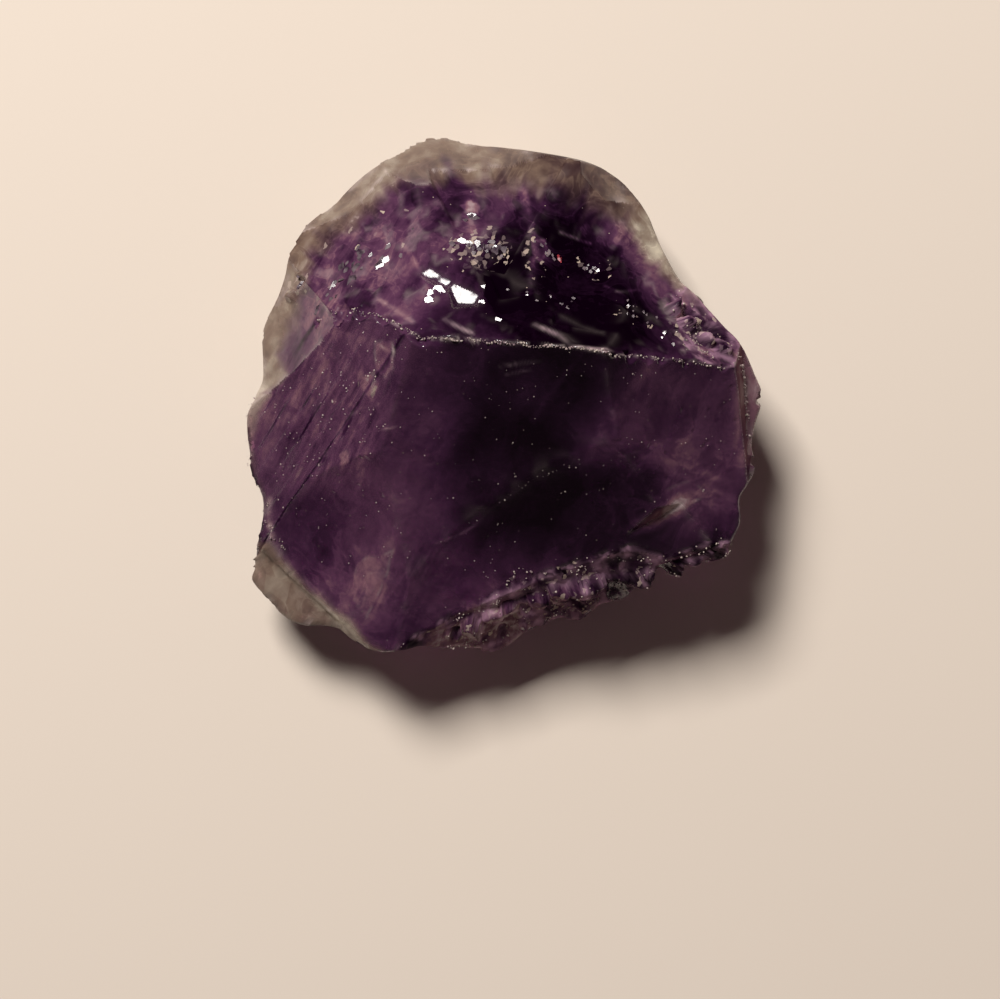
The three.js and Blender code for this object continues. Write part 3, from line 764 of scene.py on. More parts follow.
        for number, face in enumerate(self.faces, start=1):
            cut(face.outside(points), number)
        for number, faces in self.notches:
            cut(np.min([face.outside(points) for face in faces], axis=0), number)
        for grain in self.grains:
            near, level = grain.outside(points)
            if grain.bite:
                more = -level > value[near]
                value[near[more]] = -level[more]
            else:
                more = level < value[near]
                value[near[more]] = level[more]
            ident[near[more]] = len(self.skins) - 1
            second[near[more]] = value[near[more]] - 1.0
        return value, ident, value - second


def disc_grid(cells: int) -> tuple[Array, Array, Array, Array]:
    """Bends a square grid onto a disc, so that no point of it is pinched.

    Args:
        cells: How many cells along a side.

    Returns:
        Each point's share of the radius, its turn, the quads, and the boundary in turning order.
    """
    k = np.arange(cells + 1) / cells * 2 - 1
    a, b = (v.ravel() for v in np.meshgrid(k, k, indexing="ij"))
    wide = np.abs(a) >= np.abs(b)
    with np.errstate(divide="ignore", invalid="ignore"):
        turn = np.where(wide, np.pi / 4 * b / a + np.where(a < 0, np.pi, 0),
                        np.pi / 2 - np.pi / 4 * a / b + np.where(b < 0, np.pi, 0))
    turn = np.nan_to_num(turn) % (2 * np.pi)
    share = np.maximum(np.abs(a), np.abs(b))
    i, j = (v.ravel() for v in np.meshgrid(np.arange(cells), np.arange(cells), indexing="ij"))
    corner = i * (cells + 1) + j
    quads = np.column_stack([corner, corner + cells + 1, corner + cells + 2, corner + 1])
    crossed = (i < cells // 2) != (j < cells // 2)
    quads[crossed] = np.roll(quads[crossed], -1, axis=1)
    edge = np.flatnonzero(share > 1 - 1e-9)
    return share, turn, quads, edge[np.argsort(turn[edge])]


def triangles_of(quads: Array) -> Array:
    """Cuts every quad in two."""
    return np.vstack([quads[:, [0, 1, 2]], quads[:, [0, 2, 3]]])


def vertex_normals(points: Array, triangles: Array) -> Array:
    """Works out the outward direction at each point of a mesh.

    Args:
        points: The mesh's points.
        triangles: Its triangles, as point numbers.

    Returns:
        The unit normals, one row each.
    """
    a, b, c = (points[triangles[:, k]] for k in range(3))
    flat = np.cross(b - a, c - a)
    total = np.zeros_like(points)
    for k in range(3):
        for axis in range(3):
            total[:, axis] += np.bincount(triangles[:, k], flat[:, axis], len(points))
    return total / np.maximum(np.linalg.norm(total, axis=1), 1e-12)[:, None]


def ramp(low: float, high: float, values: Array) -> Array:
    """Rises smoothly from 0 at low to 1 at high."""
    t = np.clip((values - low) / (high - low), 0, 1)
    return t * t * (3 - 2 * t)


def peak(away: Array, width: float) -> Array:
    """Falls from 1 on a line to nothing about two widths away from it."""
    return np.exp(-((away / width) ** 2))


def distance_to_line(points: Array, line: Array) -> Array:
    """Measures points against a line.

    Args:
        points: The places.
        line: The line's points.

    Returns:
        The distance of each place.
    """
    best = np.full(len(points), FAR)
    for a, b in zip(line[:-1], line[1:]):
        span = b - a
        t = np.clip((points - a) @ span / max(float(span @ span), 1e-9), 0, 1)
        best = np.minimum(best, np.linalg.norm(points - a - t[:, None] * span, axis=1))
    return best


def new_piece(name: str, points: Array, faces: Iterable[Sequence[int]],
              edges: Sequence[tuple[int, int]] = ()) -> Piece:
    """Makes a mesh object from points in mm.

    Args:
        name: The piece's name.
        points: Its points, in mm.
        faces: Its faces, as point numbers.
        edges: Edges without a face, as point numbers.

    Returns:
        The object, linked to the scene.
    """
    mesh = bpy.data.meshes.new(name)
    mesh.from_pydata((points * MM).tolist(), edges, [list(map(int, f)) for f in faces])
    mesh.update()
    piece = bpy.data.objects.new(name, mesh)
    bpy.context.scene.collection.objects.link(piece)
    return piece


def paint(piece: Piece, name: str, values: Array) -> None:
    """Stores one number for each point of a piece, for its material to read."""
    piece.data.attributes.new(name, "FLOAT", "POINT").data.foreach_set("value", values.astype(np.float32))


@dataclass
class Relief:
    """The fine relief of each kind of surface, as a depth below the large faces.

    Attributes:
        stone: The stone that it lies on.
        seed: What its noise is drawn from.
        wave: The depth of the slow waves of a clean break, in mm.
        ripple: The depth of the shell-like ripples round the point where a break began, in mm.
        stria: The depth of the growth lines of the left slope, in mm.
        flake: The width of the flakes of the upper side, in mm.
        crumb: The width of the crumbs of the crust, in mm.
        edge_wear: How deep the edges are crushed, in mm.
    """

    stone: BrokenStone
    seed: int = 3
    wave: float = 0.10
    ripple: float = 0.022
    stria: float = 0.075
    flake: float = 2.1
    crumb: float = 1.5
    edge_wear: float = 0.16

    def __post_init__(self) -> None:
        """Draws the noise."""
        self.noise = Noise(self.seed)
        self.scoops = Scoops(self.seed + 1)

    def bend(self, p: Array, size: float, amount: float) -> Array:
        """Shifts points about by noise of a size, by up to an amount, both in mm."""
        return p + amount * np.column_stack([self.noise.at(p + shift, size) for shift in (0, 9, 17)])

    def depth(self, points: Array, skins: Array, gaps: Array) -> Array:
        """Gives the relief at points.

        Args:
            points: The places, in mm.
            skins: The skin of the surface at each.
            gaps: How far each lies from an edge, in mm.

        Returns:
            The depth at each place, in mm.
        """
        total = np.zeros(len(points))
        # In the order of Skin
        reliefs = (self.clean, self.striated, self.chipped, self.frosted, self.crusted, self.underside,
                   self.glassy, self.clean)
        for skin, relief in zip(Skin, reliefs):
            here = np.flatnonzero(skins == skin)
            total[here] = relief(points[here])
        total *= np.where(skins == Skin.CRUSTED, 0.2 + 0.8 * ramp(0.0, 0.7, gaps), 1.0)
        crushed = np.exp(-gaps / 0.22) * ramp(-0.35, 0.45, self.noise.at(points, 1.3))
        crushed *= np.where(skins == Skin.STRIATED, 0.2, 0.5)
        rough = 0.6 + 0.4 * self.noise.at(points, 0.28) + 0.4 * self.noise.at(points, 0.15)
        flat = np.where(points[:, 2] < 0.15, 0.0, 1.0)
        return total + self.edge_wear * crushed * rough * flat

    def clean(self, p: Array) -> Array:
        """Makes the relief of a clean, glassy break: slow waves and faint ripples round its start.

        Args:
            p: The places, in mm.

        Returns:
            The depth at each, in mm, as for every kind of surface.
        """
        slow = self.wave * self.noise.at(p, 5.0) + 0.35 * self.wave * self.noise.at(p, 1.9)
        start = np.linalg.norm(p - np.array([-4.0, 4.0, 12.0]), axis=1)
        wide = start + 0.8 * self.noise.at(p, 4.0)
        rings = np.sin(2 * np.pi * wide / 1.9) * ramp(-0.3, 0.7, self.noise.at(p, 3.1))
        nicks = ramp(0.72, 0.95, self.noise.at(p, 0.42)) * 0.07
        return slow + self.ripple * rings + nicks + 0.006 * self.noise.at(p, 0.3)

    def glassy(self, p: Array) -> Array:
        """Makes the relief of a small mirror-like step: a few nearly level facets, with a nick or two."""
        facets = self.scoops.at(p, 0.6, 0.13, 0.03)
        return facets + 0.01 * self.noise.at(p, 0.9) + ramp(0.6, 0.95, self.noise.at(p, 0.5)) * 0.05

    def striated(self, p: Array) -> Array:
        """Makes the relief of the left slope: growth lines of uneven depth, all running the same way.

        Args:
            p: The places, in mm.

        Returns:
            The depth at each, in mm.
        """
        across = p @ lean(90, self.stone.ledge_bearing)
        course = p @ lean(90, self.stone.ledge_bearing + 90)
        drift = 0.25 * self.noise.at(p, 4.0)
        line = np.column_stack([across + drift, 0.10 * course, np.zeros(len(p))])
        saw = self.noise.at(line, 0.8) + 0.6 * self.noise.at(line, 0.4)
        return self.stria * (saw + 0.6 * self.noise.at(p, 2.2))

    def flakes(self, p: Array) -> tuple[Cut, Cut]:
        """Cuts the flakes of the upper side, longer than wide.

        Args:
            p: The places, in mm.

        Returns:
            The large ones and the small ones.
        """
        bent = self.bend(p, 2.0, 0.4)
        long = np.column_stack([0.5 * (bent @ lean(90, 58)), bent @ lean(90, 148), 0.5 * bent[:, 2]])
        small = self.scoops.cut(long[:, [1, 2, 0]], 0.4 * self.flake, 0.09, 0.04)
        return self.scoops.cut(long, self.flake, 0.13, 0.05), small

    def chipped(self, p: Array) -> Array:
        """Makes the relief of the upper side: shallow leaning flakes, and smaller ones on them.

        Args:
            p: The places, in mm.

        Returns:
            The depth at each, in mm.
        """
        calm = ramp(3.0, 9.0, p[:, 0])
        (large, _, _), (small, _, _) = self.flakes(p)
        return (1 - 0.5 * calm) * large + (0.9 - 0.7 * calm) * small + 0.5 * self.wave * self.noise.at(p, 4.0)

    def frosted(self, p: Array) -> Array:
        """Makes the relief of the matte outer skin: soft dimples over slow waves."""
        dimples = self.noise.at(p, 0.42) + 0.5 * self.noise.at(p, 0.2)
        return 0.03 * dimples + 1.2 * self.wave * self.noise.at(p, 3.2) + 0.05 * self.noise.at(p, 1.1)

    def crumbs(self, p: Array) -> tuple[Cut, Cut]:
        """Cuts the facets of the crust.

        Args:
            p: The places, in mm.

        Returns:
            The large ones and the small ones.
        """
        bent = self.bend(p, 1.1, 0.3)
        small = self.scoops.cut(bent[:, [2, 0, 1]], 0.38 * self.crumb, 0.22, 0.08)
        return self.scoops.cut(bent, self.crumb, 0.26, 0.10), small

    def crusted(self, p: Array) -> Array:
        """Makes the relief of the crumbly crust: angular crumbs with hollows between them.

        Args:
            p: The places, in mm.

        Returns:
            The depth at each, in mm.
        """
        (large, _, _), (small, _, _) = self.crumbs(p)
        hollows = ramp(0.4, 0.8, self.noise.at(p + 5, 1.2)) * 0.3
        return 0.9 * large + 0.8 * small + hollows + 0.12 * self.noise.at(p, 1.9)

    def underside(self, p: Array) -> Array:
        """Makes the relief of the broken underside, which leaves the resting face flat."""
        flakes = self.scoops.at(p, 3.4, 0.16, 0.12) + 0.4 * self.scoops.at(p[:, [1, 2, 0]], 0.9, 0.2, 0.15)
        return np.maximum(flakes + 0.12, 0.0) * ramp(0.1, 1.2, p[:, 2]) + 0.004


@dataclass
class Chunk:
    """The stone itself, as one closed mesh seen from an inner centre.

    Attributes:
        stone: The large faces.
        relief: The fine relief.
        centre: The inner point that every part of the surface faces, in mm.
        cells: The cells across the upper side; the underside has half as many.
        middle: The height that the cells spread round, in mm.
        rise: How far the upper cells spread above it, in mm.
        drop: How far the lower cells spread below it, in mm.
        headroom: How near to its palest colour a finish is used.
        points: The points of its surface, in mm.
        triangles: The triangles between them.
        skins: The skin at each point.
        gaps: How far each lies from an edge, in mm.
        frost: How frosted each is, from 0 to 1.
        crust: How much each belongs to the crusts, from 0 to 1.
        unit: The direction of each from the centre.
    """

    stone: BrokenStone
    relief: Relief
    centre: Vec3 = (0.0, -1.0, 7.0)
    cells: int = 268
    middle: float = 6.6
    rise: float = 12.0
    drop: float = 6.5
    headroom: float = 0.8
    points: Array = field(init=False)
    triangles: Array = field(init=False)
    skins: Array = field(init=False)
    gaps: Array = field(init=False)
    frost: Array = field(init=False)
    crust: Array = field(init=False)
    unit: Array = field(init=False)

    def ways(self) -> tuple[Array, Array]:
        """Spreads the directions from the centre, closely over the upper side.

        Returns:
            The unit directions and the triangles that join them.
        """
        parts, faces, edges = [], [], []
        count = 0
        for cells, upper in ((self.cells, True), (self.cells // 2, False)):
            share, turn, quads, edge = disc_grid(cells)
            if upper:
                angle = 0.5 * np.arccos(share) + 0.5 * np.radians(90 - 105 * share)
            else:
                angle = -np.radians(90 - 79 * share)
                quads = quads[:, ::-1]
            table = self.stone.rim
            reach = np.interp(turn, table[:, 0], table[:, 1]) * np.cos(angle)
            level = self.middle + share * (np.interp(turn, table[:, 0], table[:, 2]) - self.middle)
            level += np.sin(angle) * (self.rise if upper else self.drop)
            parts.append(np.column_stack([reach * np.cos(turn), reach * np.sin(turn), level]))
            faces.append(triangles_of(quads) + count)
            edges.append(edge + count)
            count += len(share)
        top, low = edges
        n = len(low)
        for k in range(n):
            a, b, c = top[2 * k], top[2 * k + 1], top[(2 * k + 2) % (2 * n)]
            d, e = low[k], low[(k + 1) % n]
            faces.append(np.array([[d, b, a], [d, e, b], [e, c, b]]))
        away = np.vstack(parts) - np.array(self.centre)
        return away / np.linalg.norm(away, axis=1)[:, None], np.vstack(faces)

    def shape(self) -> None:
        """Finds the surface along every direction, then lowers it by the fine relief."""
        ways, self.triangles = self.ways()
        centre = np.array(self.centre)
        reach = np.full(len(ways), 2.0)
        for _ in range(20):
            level, ident, gap = self.stone.outside(centre + ways * reach[:, None])
            reach -= level
        base = centre + ways * reach[:, None]
        self.frost = self.frosting(base)
        self.crust = self.closeness(base, [[face] for face in FACES.values() if face.skin == Skin.CRUSTED], 0.3)
        self.skins = np.array([int(s) for s in self.stone.skins])[ident]
        self.gaps = np.maximum(gap, 0.0)
        slope = np.clip(np.einsum("ij,ij->i", vertex_normals(base, self.triangles), ways), 0.35, 1.0)
        self.points = base
        for _ in range(3):
            depth = self.relief.depth(self.points, self.skins, self.gaps)
            self.points = centre + ways * (reach - np.clip(depth / slope, -0.3, 0.6))[:, None]
        self.points[:, 2] = np.maximum(self.points[:, 2], 0.0)
        away = self.points - centre
        self.unit = away / np.linalg.norm(away, axis=1)[:, None]

    def surface(self, way: Array) -> Array:
        """Finds the point of the surface, in mm, that lies in a direction from the centre."""
        return self.points[int(np.argmax(self.unit @ way))]

    def frosting(self, points: Array) -> Array:
        """Tells how frosted the surface is: along the rim of the far side, in wisps, and on the lobe.

        Args:
            points: The places, in mm.

        Returns:
            From 0, clear, to 1, frosted.
        """
        noise, table = self.relief.noise, self.stone.rim
        turn = np.arctan2(points[:, 1], points[:, 0])
        inside = np.interp(turn, table[:, 0], table[:, 1]) - np.hypot(points[:, 0], points[:, 1])
        bearings, reaches = (np.array(v, dtype=float) for v in zip(*FROST_REACH))
        reach = np.interp(np.degrees(turn), bearings, reaches)
        wisps = np.column_stack([turn * 17, 0.16 * inside, 0.16 * points[:, 2]])
        ragged = 0.5 * noise.at(points, 1.4) + 0.55 * noise.at(wisps, 0.7) + 0.3 * noise.at(wisps, 0.33)
        band = ramp(1.25, 0.35, inside / (reach + 0.2) + 0.45 * ragged) * ramp(0.2, 1.2, reach)
        return np.maximum(band, self.closeness(points, [NOTCHES[0][1]], 0.7))

    def closeness(self, points: Array, sets: list[list[Fracture]], reach: float) -> Array:
        """Tells how much points of the surface belong to some of its faces.

        Args:
            points: The places, in mm.
            sets: The faces, where those that bound one notch together are one set.
            reach: How far their look spreads past their edges, in mm.

        Returns:
            From 0, far from any such face, to 1, on one.
        """
        level = np.full(len(points), -FAR)
        for faces in sets:
            level = np.maximum(level, np.min([face.outside(points) for face in faces], axis=0))
        return ramp(-reach, -0.04 * reach, level + 0.45 * reach * self.relief.noise.at(points, 1.7))

    def tone(self) -> tuple[Array, Array]:
        """Works out how pale the purple is all over, and where the surface is crushed.

        Returns:
            The tone, from 0, nearly black, to 1, nearly white, and the crushing, from 0 to 1.
        """
        p, noise = self.points, self.relief.noise
        tone = np.where(self.skins == Skin.UNDERSIDE, 0.42, 0.46) + 0.1 * self.frost - 0.1 * self.crust
        for zone in ZONES:
            tone += zone.tone * zone.strength(p)
        band = p @ lean(90, 150) + 0.8 * noise.at(p, 5.0)
        bands = np.column_stack([band, 0.12 * (p @ lean(90, 60)), 0.3 * p[:, 2]])
        tone += 0.07 * noise.at(bands, 1.6) + 0.04 * noise.at(bands, 0.6) + 0.06 * noise.at(p, 2.3)
        tone += 0.16 * self.frost * noise.at(p + 50, 0.9)
        crushed = np.exp(-self.gaps / 0.10) * ramp(-0.3, 0.6, noise.at(p, 0.9))
        share = {Skin.CLEAN: 0.12, Skin.STRIATED: 0.04, Skin.CHIPPED: 0.05, Skin.GLASSY: 0.05, Skin.LEDGE: 0.35}
        crushed *= np.array([share.get(skin, 0.6) for skin in Skin])[self.skins]
        for facet in PALE_FACETS:
            inside = facet.inside(p, noise)
            tone += facet.tone * ramp(-0.05, 0.07, inside)
            crushed += facet.edge * peak(inside, 0.09) * ramp(-0.2, 0.5, noise.at(p, 0.8))
        tone = np.maximum(tone, 0.0)
        for feather in FEATHERS:
            away = distance_to_line(p, smooth_line(feather.line, fine=4))
            ragged = 0.45 + 0.55 * ramp(-0.5, 0.5, noise.at(p, 0.6) + 0.5 * noise.at(p, 0.22))
            here = peak(away, feather.width) * ragged
            tone += feather.pale * here
            crushed = crushed * (1 - here) if feather.pale < 0 else crushed + feather.crushed * here
        crest = distance_to_line(p, smooth_line(CREST[2:], fine=6))
        crushed += 0.7 * peak(crest, 0.13) * ramp(-0.8, 0.2, noise.at(p, 0.5))
        strong = np.where(self.skins == Skin.CHIPPED, np.clip(2.2 * tone, 0.0, 1.0), 0.0) * (1 - 0.6 * self.frost)
        (_, large, ridge), (_, small, edge) = self.relief.flakes(p)
        tone += strong * (0.10 * large + 0.05 * small)
        tone -= 0.16 * strong * peak(ridge, 0.035) * ramp(-0.2, 0.5, noise.at(p + 3, 1.5))
        crushed += 0.14 * strong * peak(edge, 0.014) * ramp(0.0, 0.6, noise.at(p + 7, 0.9))
        (_, large, ridge), (_, small, edge) = self.relief.crumbs(p)
        # Painted shade: the crust is darker in the hollows of its relief
        tone += self.crust * (0.26 + 0.14 * large + 0.10 * small - 0.22 * ramp(0.3, 0.7, noise.at(p + 5, 1.2)))
        crushed += self.crust * 0.45 * peak(ridge, 0.08) * ramp(-0.1, 0.5, noise.at(p, 0.7))
        crushed += self.crust * 0.4 * peak(edge, 0.03) * ramp(0.1, 0.6, noise.at(p + 13, 0.8))
        return np.clip(tone, 0, 1), np.clip(crushed, 0, 1)

    def marks(self, name: str) -> Array:
        """Gives how dense one kind of fine mark is all over, from 0 to 1."""
        everywhere, zones = MARKS[name]
        return np.clip(everywhere + sum(zone.tone * zone.strength(self.points) for zone in zones), 0, 1)

    def satin(self, crushed: Array) -> Array:
        """Works out the roughness all over.

        Args:
            crushed: How crushed the surface is, from 0 to 1.

        Returns:
            The roughness of the glossy layer.
        """
        start = {
            Skin.CLEAN: 0.13, Skin.STRIATED: 0.18, Skin.CHIPPED: 0.2, Skin.FROSTED: 0.3, Skin.CRUSTED: 0.22,
            Skin.UNDERSIDE: 0.25, Skin.GLASSY: 0.24, Skin.LEDGE: 0.3,
        }
        rough = np.array([start[skin] for skin in Skin])[self.skins]
        rough = np.maximum(rough, 0.42 * self.frost)
        return rough + (0.5 - rough) * crushed

    def mean_of(self, values: Array) -> Array:
        """Gives the mean of a value over each triangle."""
        return values[self.triangles].mean(axis=1)

    def coats(self, need: Array, tone: Array, upright: Array, shares: list[float]) -> Array:
        """Picks a finish for every triangle: the clearest that is pale enough, and rougher ones by its skin.

        Args:
            need: The share of the light that each triangle must scatter.
            tone: How pale each point is, from 0 to 1.
            upright: How far each point faces up, from -1 to 1.
            shares: The share that each of the clearest three finishes scatters.

        Returns:
            The number of the finish of each triangle.
        """
        coats = np.searchsorted(shares, need).astype(np.int32)
        coats[self.mean_of(self.crust) > 0.5] = Coat.CRUSHED
        bites = (self.skins == Skin.CRUSTED) & (self.crust < 0.5) & (self.points[:, 2] > 11)
        flaked = self.mean_of((self.skins == Skin.CHIPPED) | bites) > 0.5
        dark = self.mean_of(tone - 0.2 * ramp(0.76, 0.68, upright)) < 0.4
        facing = self.mean_of(upright)
        walls = (self.mean_of((self.skins == Skin.LEDGE) & (self.points[:, 0] > 9)) > 0.5) & (facing < 0.7)
        coats[flaked & (coats < Coat.FROSTED)] = Coat.FLAKED
        lines = (self.mean_of(self.skins == Skin.STRIATED) > 0.5) & (facing < 0.72) & (coats < Coat.CLOUDY)
        coats[(flaked & dark) | walls | lines] = Coat.HACKLY
        return coats

    def build(self) -> Piece:
        """Makes the mesh and stores what its finishes read.

        Returns:
            The stone.
        """
        piece = new_piece("amethyst_stone", self.points, self.triangles)
        piece.data.polygons.foreach_set("use_smooth", np.ones(len(self.triangles), dtype=bool))
        tone, crushed = self.tone()
        upright = vertex_normals(self.points, self.triangles)[:, 2]
        # Painted shade: crust faces that point up and catch the lamp are darker
        tone -= 0.28 * self.crust * ramp(0.5, 0.8, upright)
        tone -= np.where(self.skins == Skin.STRIATED, 0.35 * ramp(0.77, 0.6, upright), 0.0)
        tone = np.clip(tone, 0, 1)
        values = {"tone": tone, "crushed": crushed, "frost": self.frost, "satin": self.satin(crushed)}
        for name, value in (values | {name: self.marks(name) for name in MARKS}).items():
            paint(piece, name, value)
        # In the order of Coat
        finishes = (ClearAmethyst(), MilkyAmethyst(), CloudyQuartz(), FrostedQuartz(), CrushedCrust(),
                    FlakedAmethyst(), HacklyAmethyst())
        for finish in finishes:
            piece.data.materials.append(finish.material())
        need = self.mean_of(finishes[Coat.CLEAR].scattered(tone, crushed, self.frost)) / self.headroom
        shares = [finish.share for finish in finishes[:Coat.FROSTED]]
        piece.data.polygons.foreach_set("material_index", self.coats(need, tone, upright, shares))
        return piece


def linear(colour: str) -> tuple[float, float, float, float]:
    """Turns an sRGB hex colour into Blender's linear one."""
    parts = [int(colour[i : i + 2], 16) / 255 for i in (1, 3, 5)]
    return (*(v / 12.92 if v <= 0.04045 else ((v + 0.055) / 1.055) ** 2.4 for v in parts), 1.0)


def node(tree: Tree, kind: str, inputs: Optional[dict[Any, Any]] = None, **settings: Any) -> Node:
    """Adds a node, with its settings and its inputs.

    Args:
        tree: The tree to add it to.
        kind: The node's type name.
        inputs: Values, sockets or nodes, for their first output, for its inputs, by name or number.
        settings: The node's own settings.

    Returns:
        The node.
    """
    made = tree.nodes.new(kind)
    for name, value in settings.items():
        setattr(made, name, value)
    for name, value in (inputs or {}).items():
        if isinstance(value, (Socket, Node)):
            tree.links.new(value if isinstance(value, Socket) else value.outputs[0], made.inputs[name])
        else:
            made.inputs[name].default_value = value
    return made


def new_material(name: str, values: dict[str, Any]) -> tuple[bpy.types.Material, Tree, Any]:
    """Makes a material.

    Args:
        name: Its name.
        values: The values of its shader's inputs, by name.

    Returns:
        The material, its tree and its shader's inputs.
    """
    made = bpy.data.materials.new(name)
    made.use_nodes = True
    inputs = made.node_tree.nodes["Principled BSDF"].inputs
    for key, value in values.items():
        inputs[key].default_value = value
    return made, made.node_tree, inputs


@dataclass(frozen=True)
class StonePatterns:
    """The fine patterns that run through the whole stone, as nodes of one material.

    Attributes:
        tree: The material's tree.
        place: Where on the stone.
    """

    tree: Tree
    place: Socket

    def streaks(self) -> Node:
        """Adds the fine growth lines, all parallel to those of the left slope.

        Returns:
            What they add to the tone.
        """
        lines = node(self.tree, "ShaderNodeMapping", {
            "Vector": self.place, "Rotation": (0.0, 0.0, math.radians(150)), "Scale": (1.0, 16.0, 3.0)},
            vector_type="TEXTURE")
        noise = node(self.tree, "ShaderNodeTexNoise", {
            "Vector": lines, "Scale": 1 / (0.42 * MM), "Detail": 3.0, "Roughness": 0.65})
        return node(self.tree, RANGE, {
            "Value": noise, "From Min": 0.3, "From Max": 0.7, "To Min": -0.2, "To Max": 0.2}, clamp=False)

    def veils(self) -> Node:
        """Adds the healed cracks inside: cloudy sheets that show as thin, curved, paler lines.

        Returns:
            What they add to the tone.
        """
        noise = node(self.tree, "ShaderNodeTexNoise", {
            "Vector": self.place, "Scale": 1 / (3.6 * MM), "Detail": 4.0, "Roughness": 0.55, "Distortion": 1.4})
        away = node(self.tree, MATH, {0: noise, 1: 0.5}, operation="SUBTRACT")
        thin = node(self.tree, MATH, {0: away}, operation="ABSOLUTE")
        line = node(self.tree, RANGE, {
            "Value": thin, "From Min": 0.0, "From Max": 0.03, "To Min": 0.09, "To Max": -0.02})
        cloud = node(self.tree, RANGE, {
            "Value": away, "From Min": -0.2, "From Max": 0.2, "To Min": -0.14, "To Max": 0.14})
        return node(self.tree, MATH, {0: line, 1: cloud}, operation="ADD")

    def cells(self, place: Socket, size: float, long: float, turn: float) -> Node:
        """Adds angular cells like the outlines of small fractures.

        Args:
            place: Where on the stone, bent or not.
            size: Their width, in mm.
            long: How many times longer they are.
            turn: The way they are long, in degrees.

        Returns:
            The cell node.
        """
        mapped = node(self.tree, "ShaderNodeMapping", {
            "Vector": place, "Rotation": (0.0, 0.0, math.radians(turn)), "Scale": (long, 1.0, 1.0)},
            vector_type="TEXTURE")
        return node(self.tree, "ShaderNodeTexVoronoi", {"Vector": mapped, "Scale": 1 / (size * MM)})

    def facets(self) -> Node:
        """Adds broken facets that each have their own tone.

        Returns:
            What they add to the tone.
        """
        parts = []
        for size, long, turn, depth in ((1.5, 2.4, 62, 0.13), (0.7, 1.8, -48, 0.10)):
            cells = self.cells(self.place, size, long, turn)
            split = node(self.tree, "ShaderNodeSeparateColor", {"Color": cells.outputs["Color"]})
            parts.append(node(self.tree, RANGE, {"Value": split, "To Min": -depth, "To Max": depth}))
        return node(self.tree, MATH, dict(enumerate(parts)), operation="ADD")

    def glints_and_specks(self, amount: Socket) -> Node:
        """Adds small angular facets painted paler, as painted glints, and tiny pale specks between them.

        Args:
            amount: How dense they are, from 0 to 1.

        Returns:
            How much of the painted glint and speck colour shows, from 0 to 1.
        """
        stray = node(self.tree, "ShaderNodeTexNoise", {"Vector": self.place, "Scale": 1 / (0.5 * MM), "Detail": 1.0})
        bent = node(self.tree, "ShaderNodeVectorMath", {
            0: stray.outputs["Color"], 1: (0.4 * MM,) * 3, 2: self.place}, operation="MULTIPLY_ADD")
        cells = self.cells(bent.outputs[0], 0.3, 1.6, 60)
        split = node(self.tree, "ShaderNodeSeparateColor", {"Color": cells.outputs["Color"]}).outputs
        limit = node(self.tree, MATH, {0: amount, 1: -0.6, 2: 1.0}, operation="MULTIPLY_ADD")
        chosen = node(self.tree, MATH, {0: split[0], 1: limit}, operation="GREATER_THAN")
        facets = node(self.tree, MATH, {0: chosen, 1: split[1]}, operation="MULTIPLY")
        dots = node(self.tree, "ShaderNodeTexVoronoi", {"Vector": self.place, "Scale": 1 / (1.1 * MM)})
        specks = node(self.tree, RANGE, {"Value": dots, "From Min": 0.055, "From Max": 0.03})
        return node(self.tree, MATH, {0: facets, 1: specks}, operation="MAXIMUM")


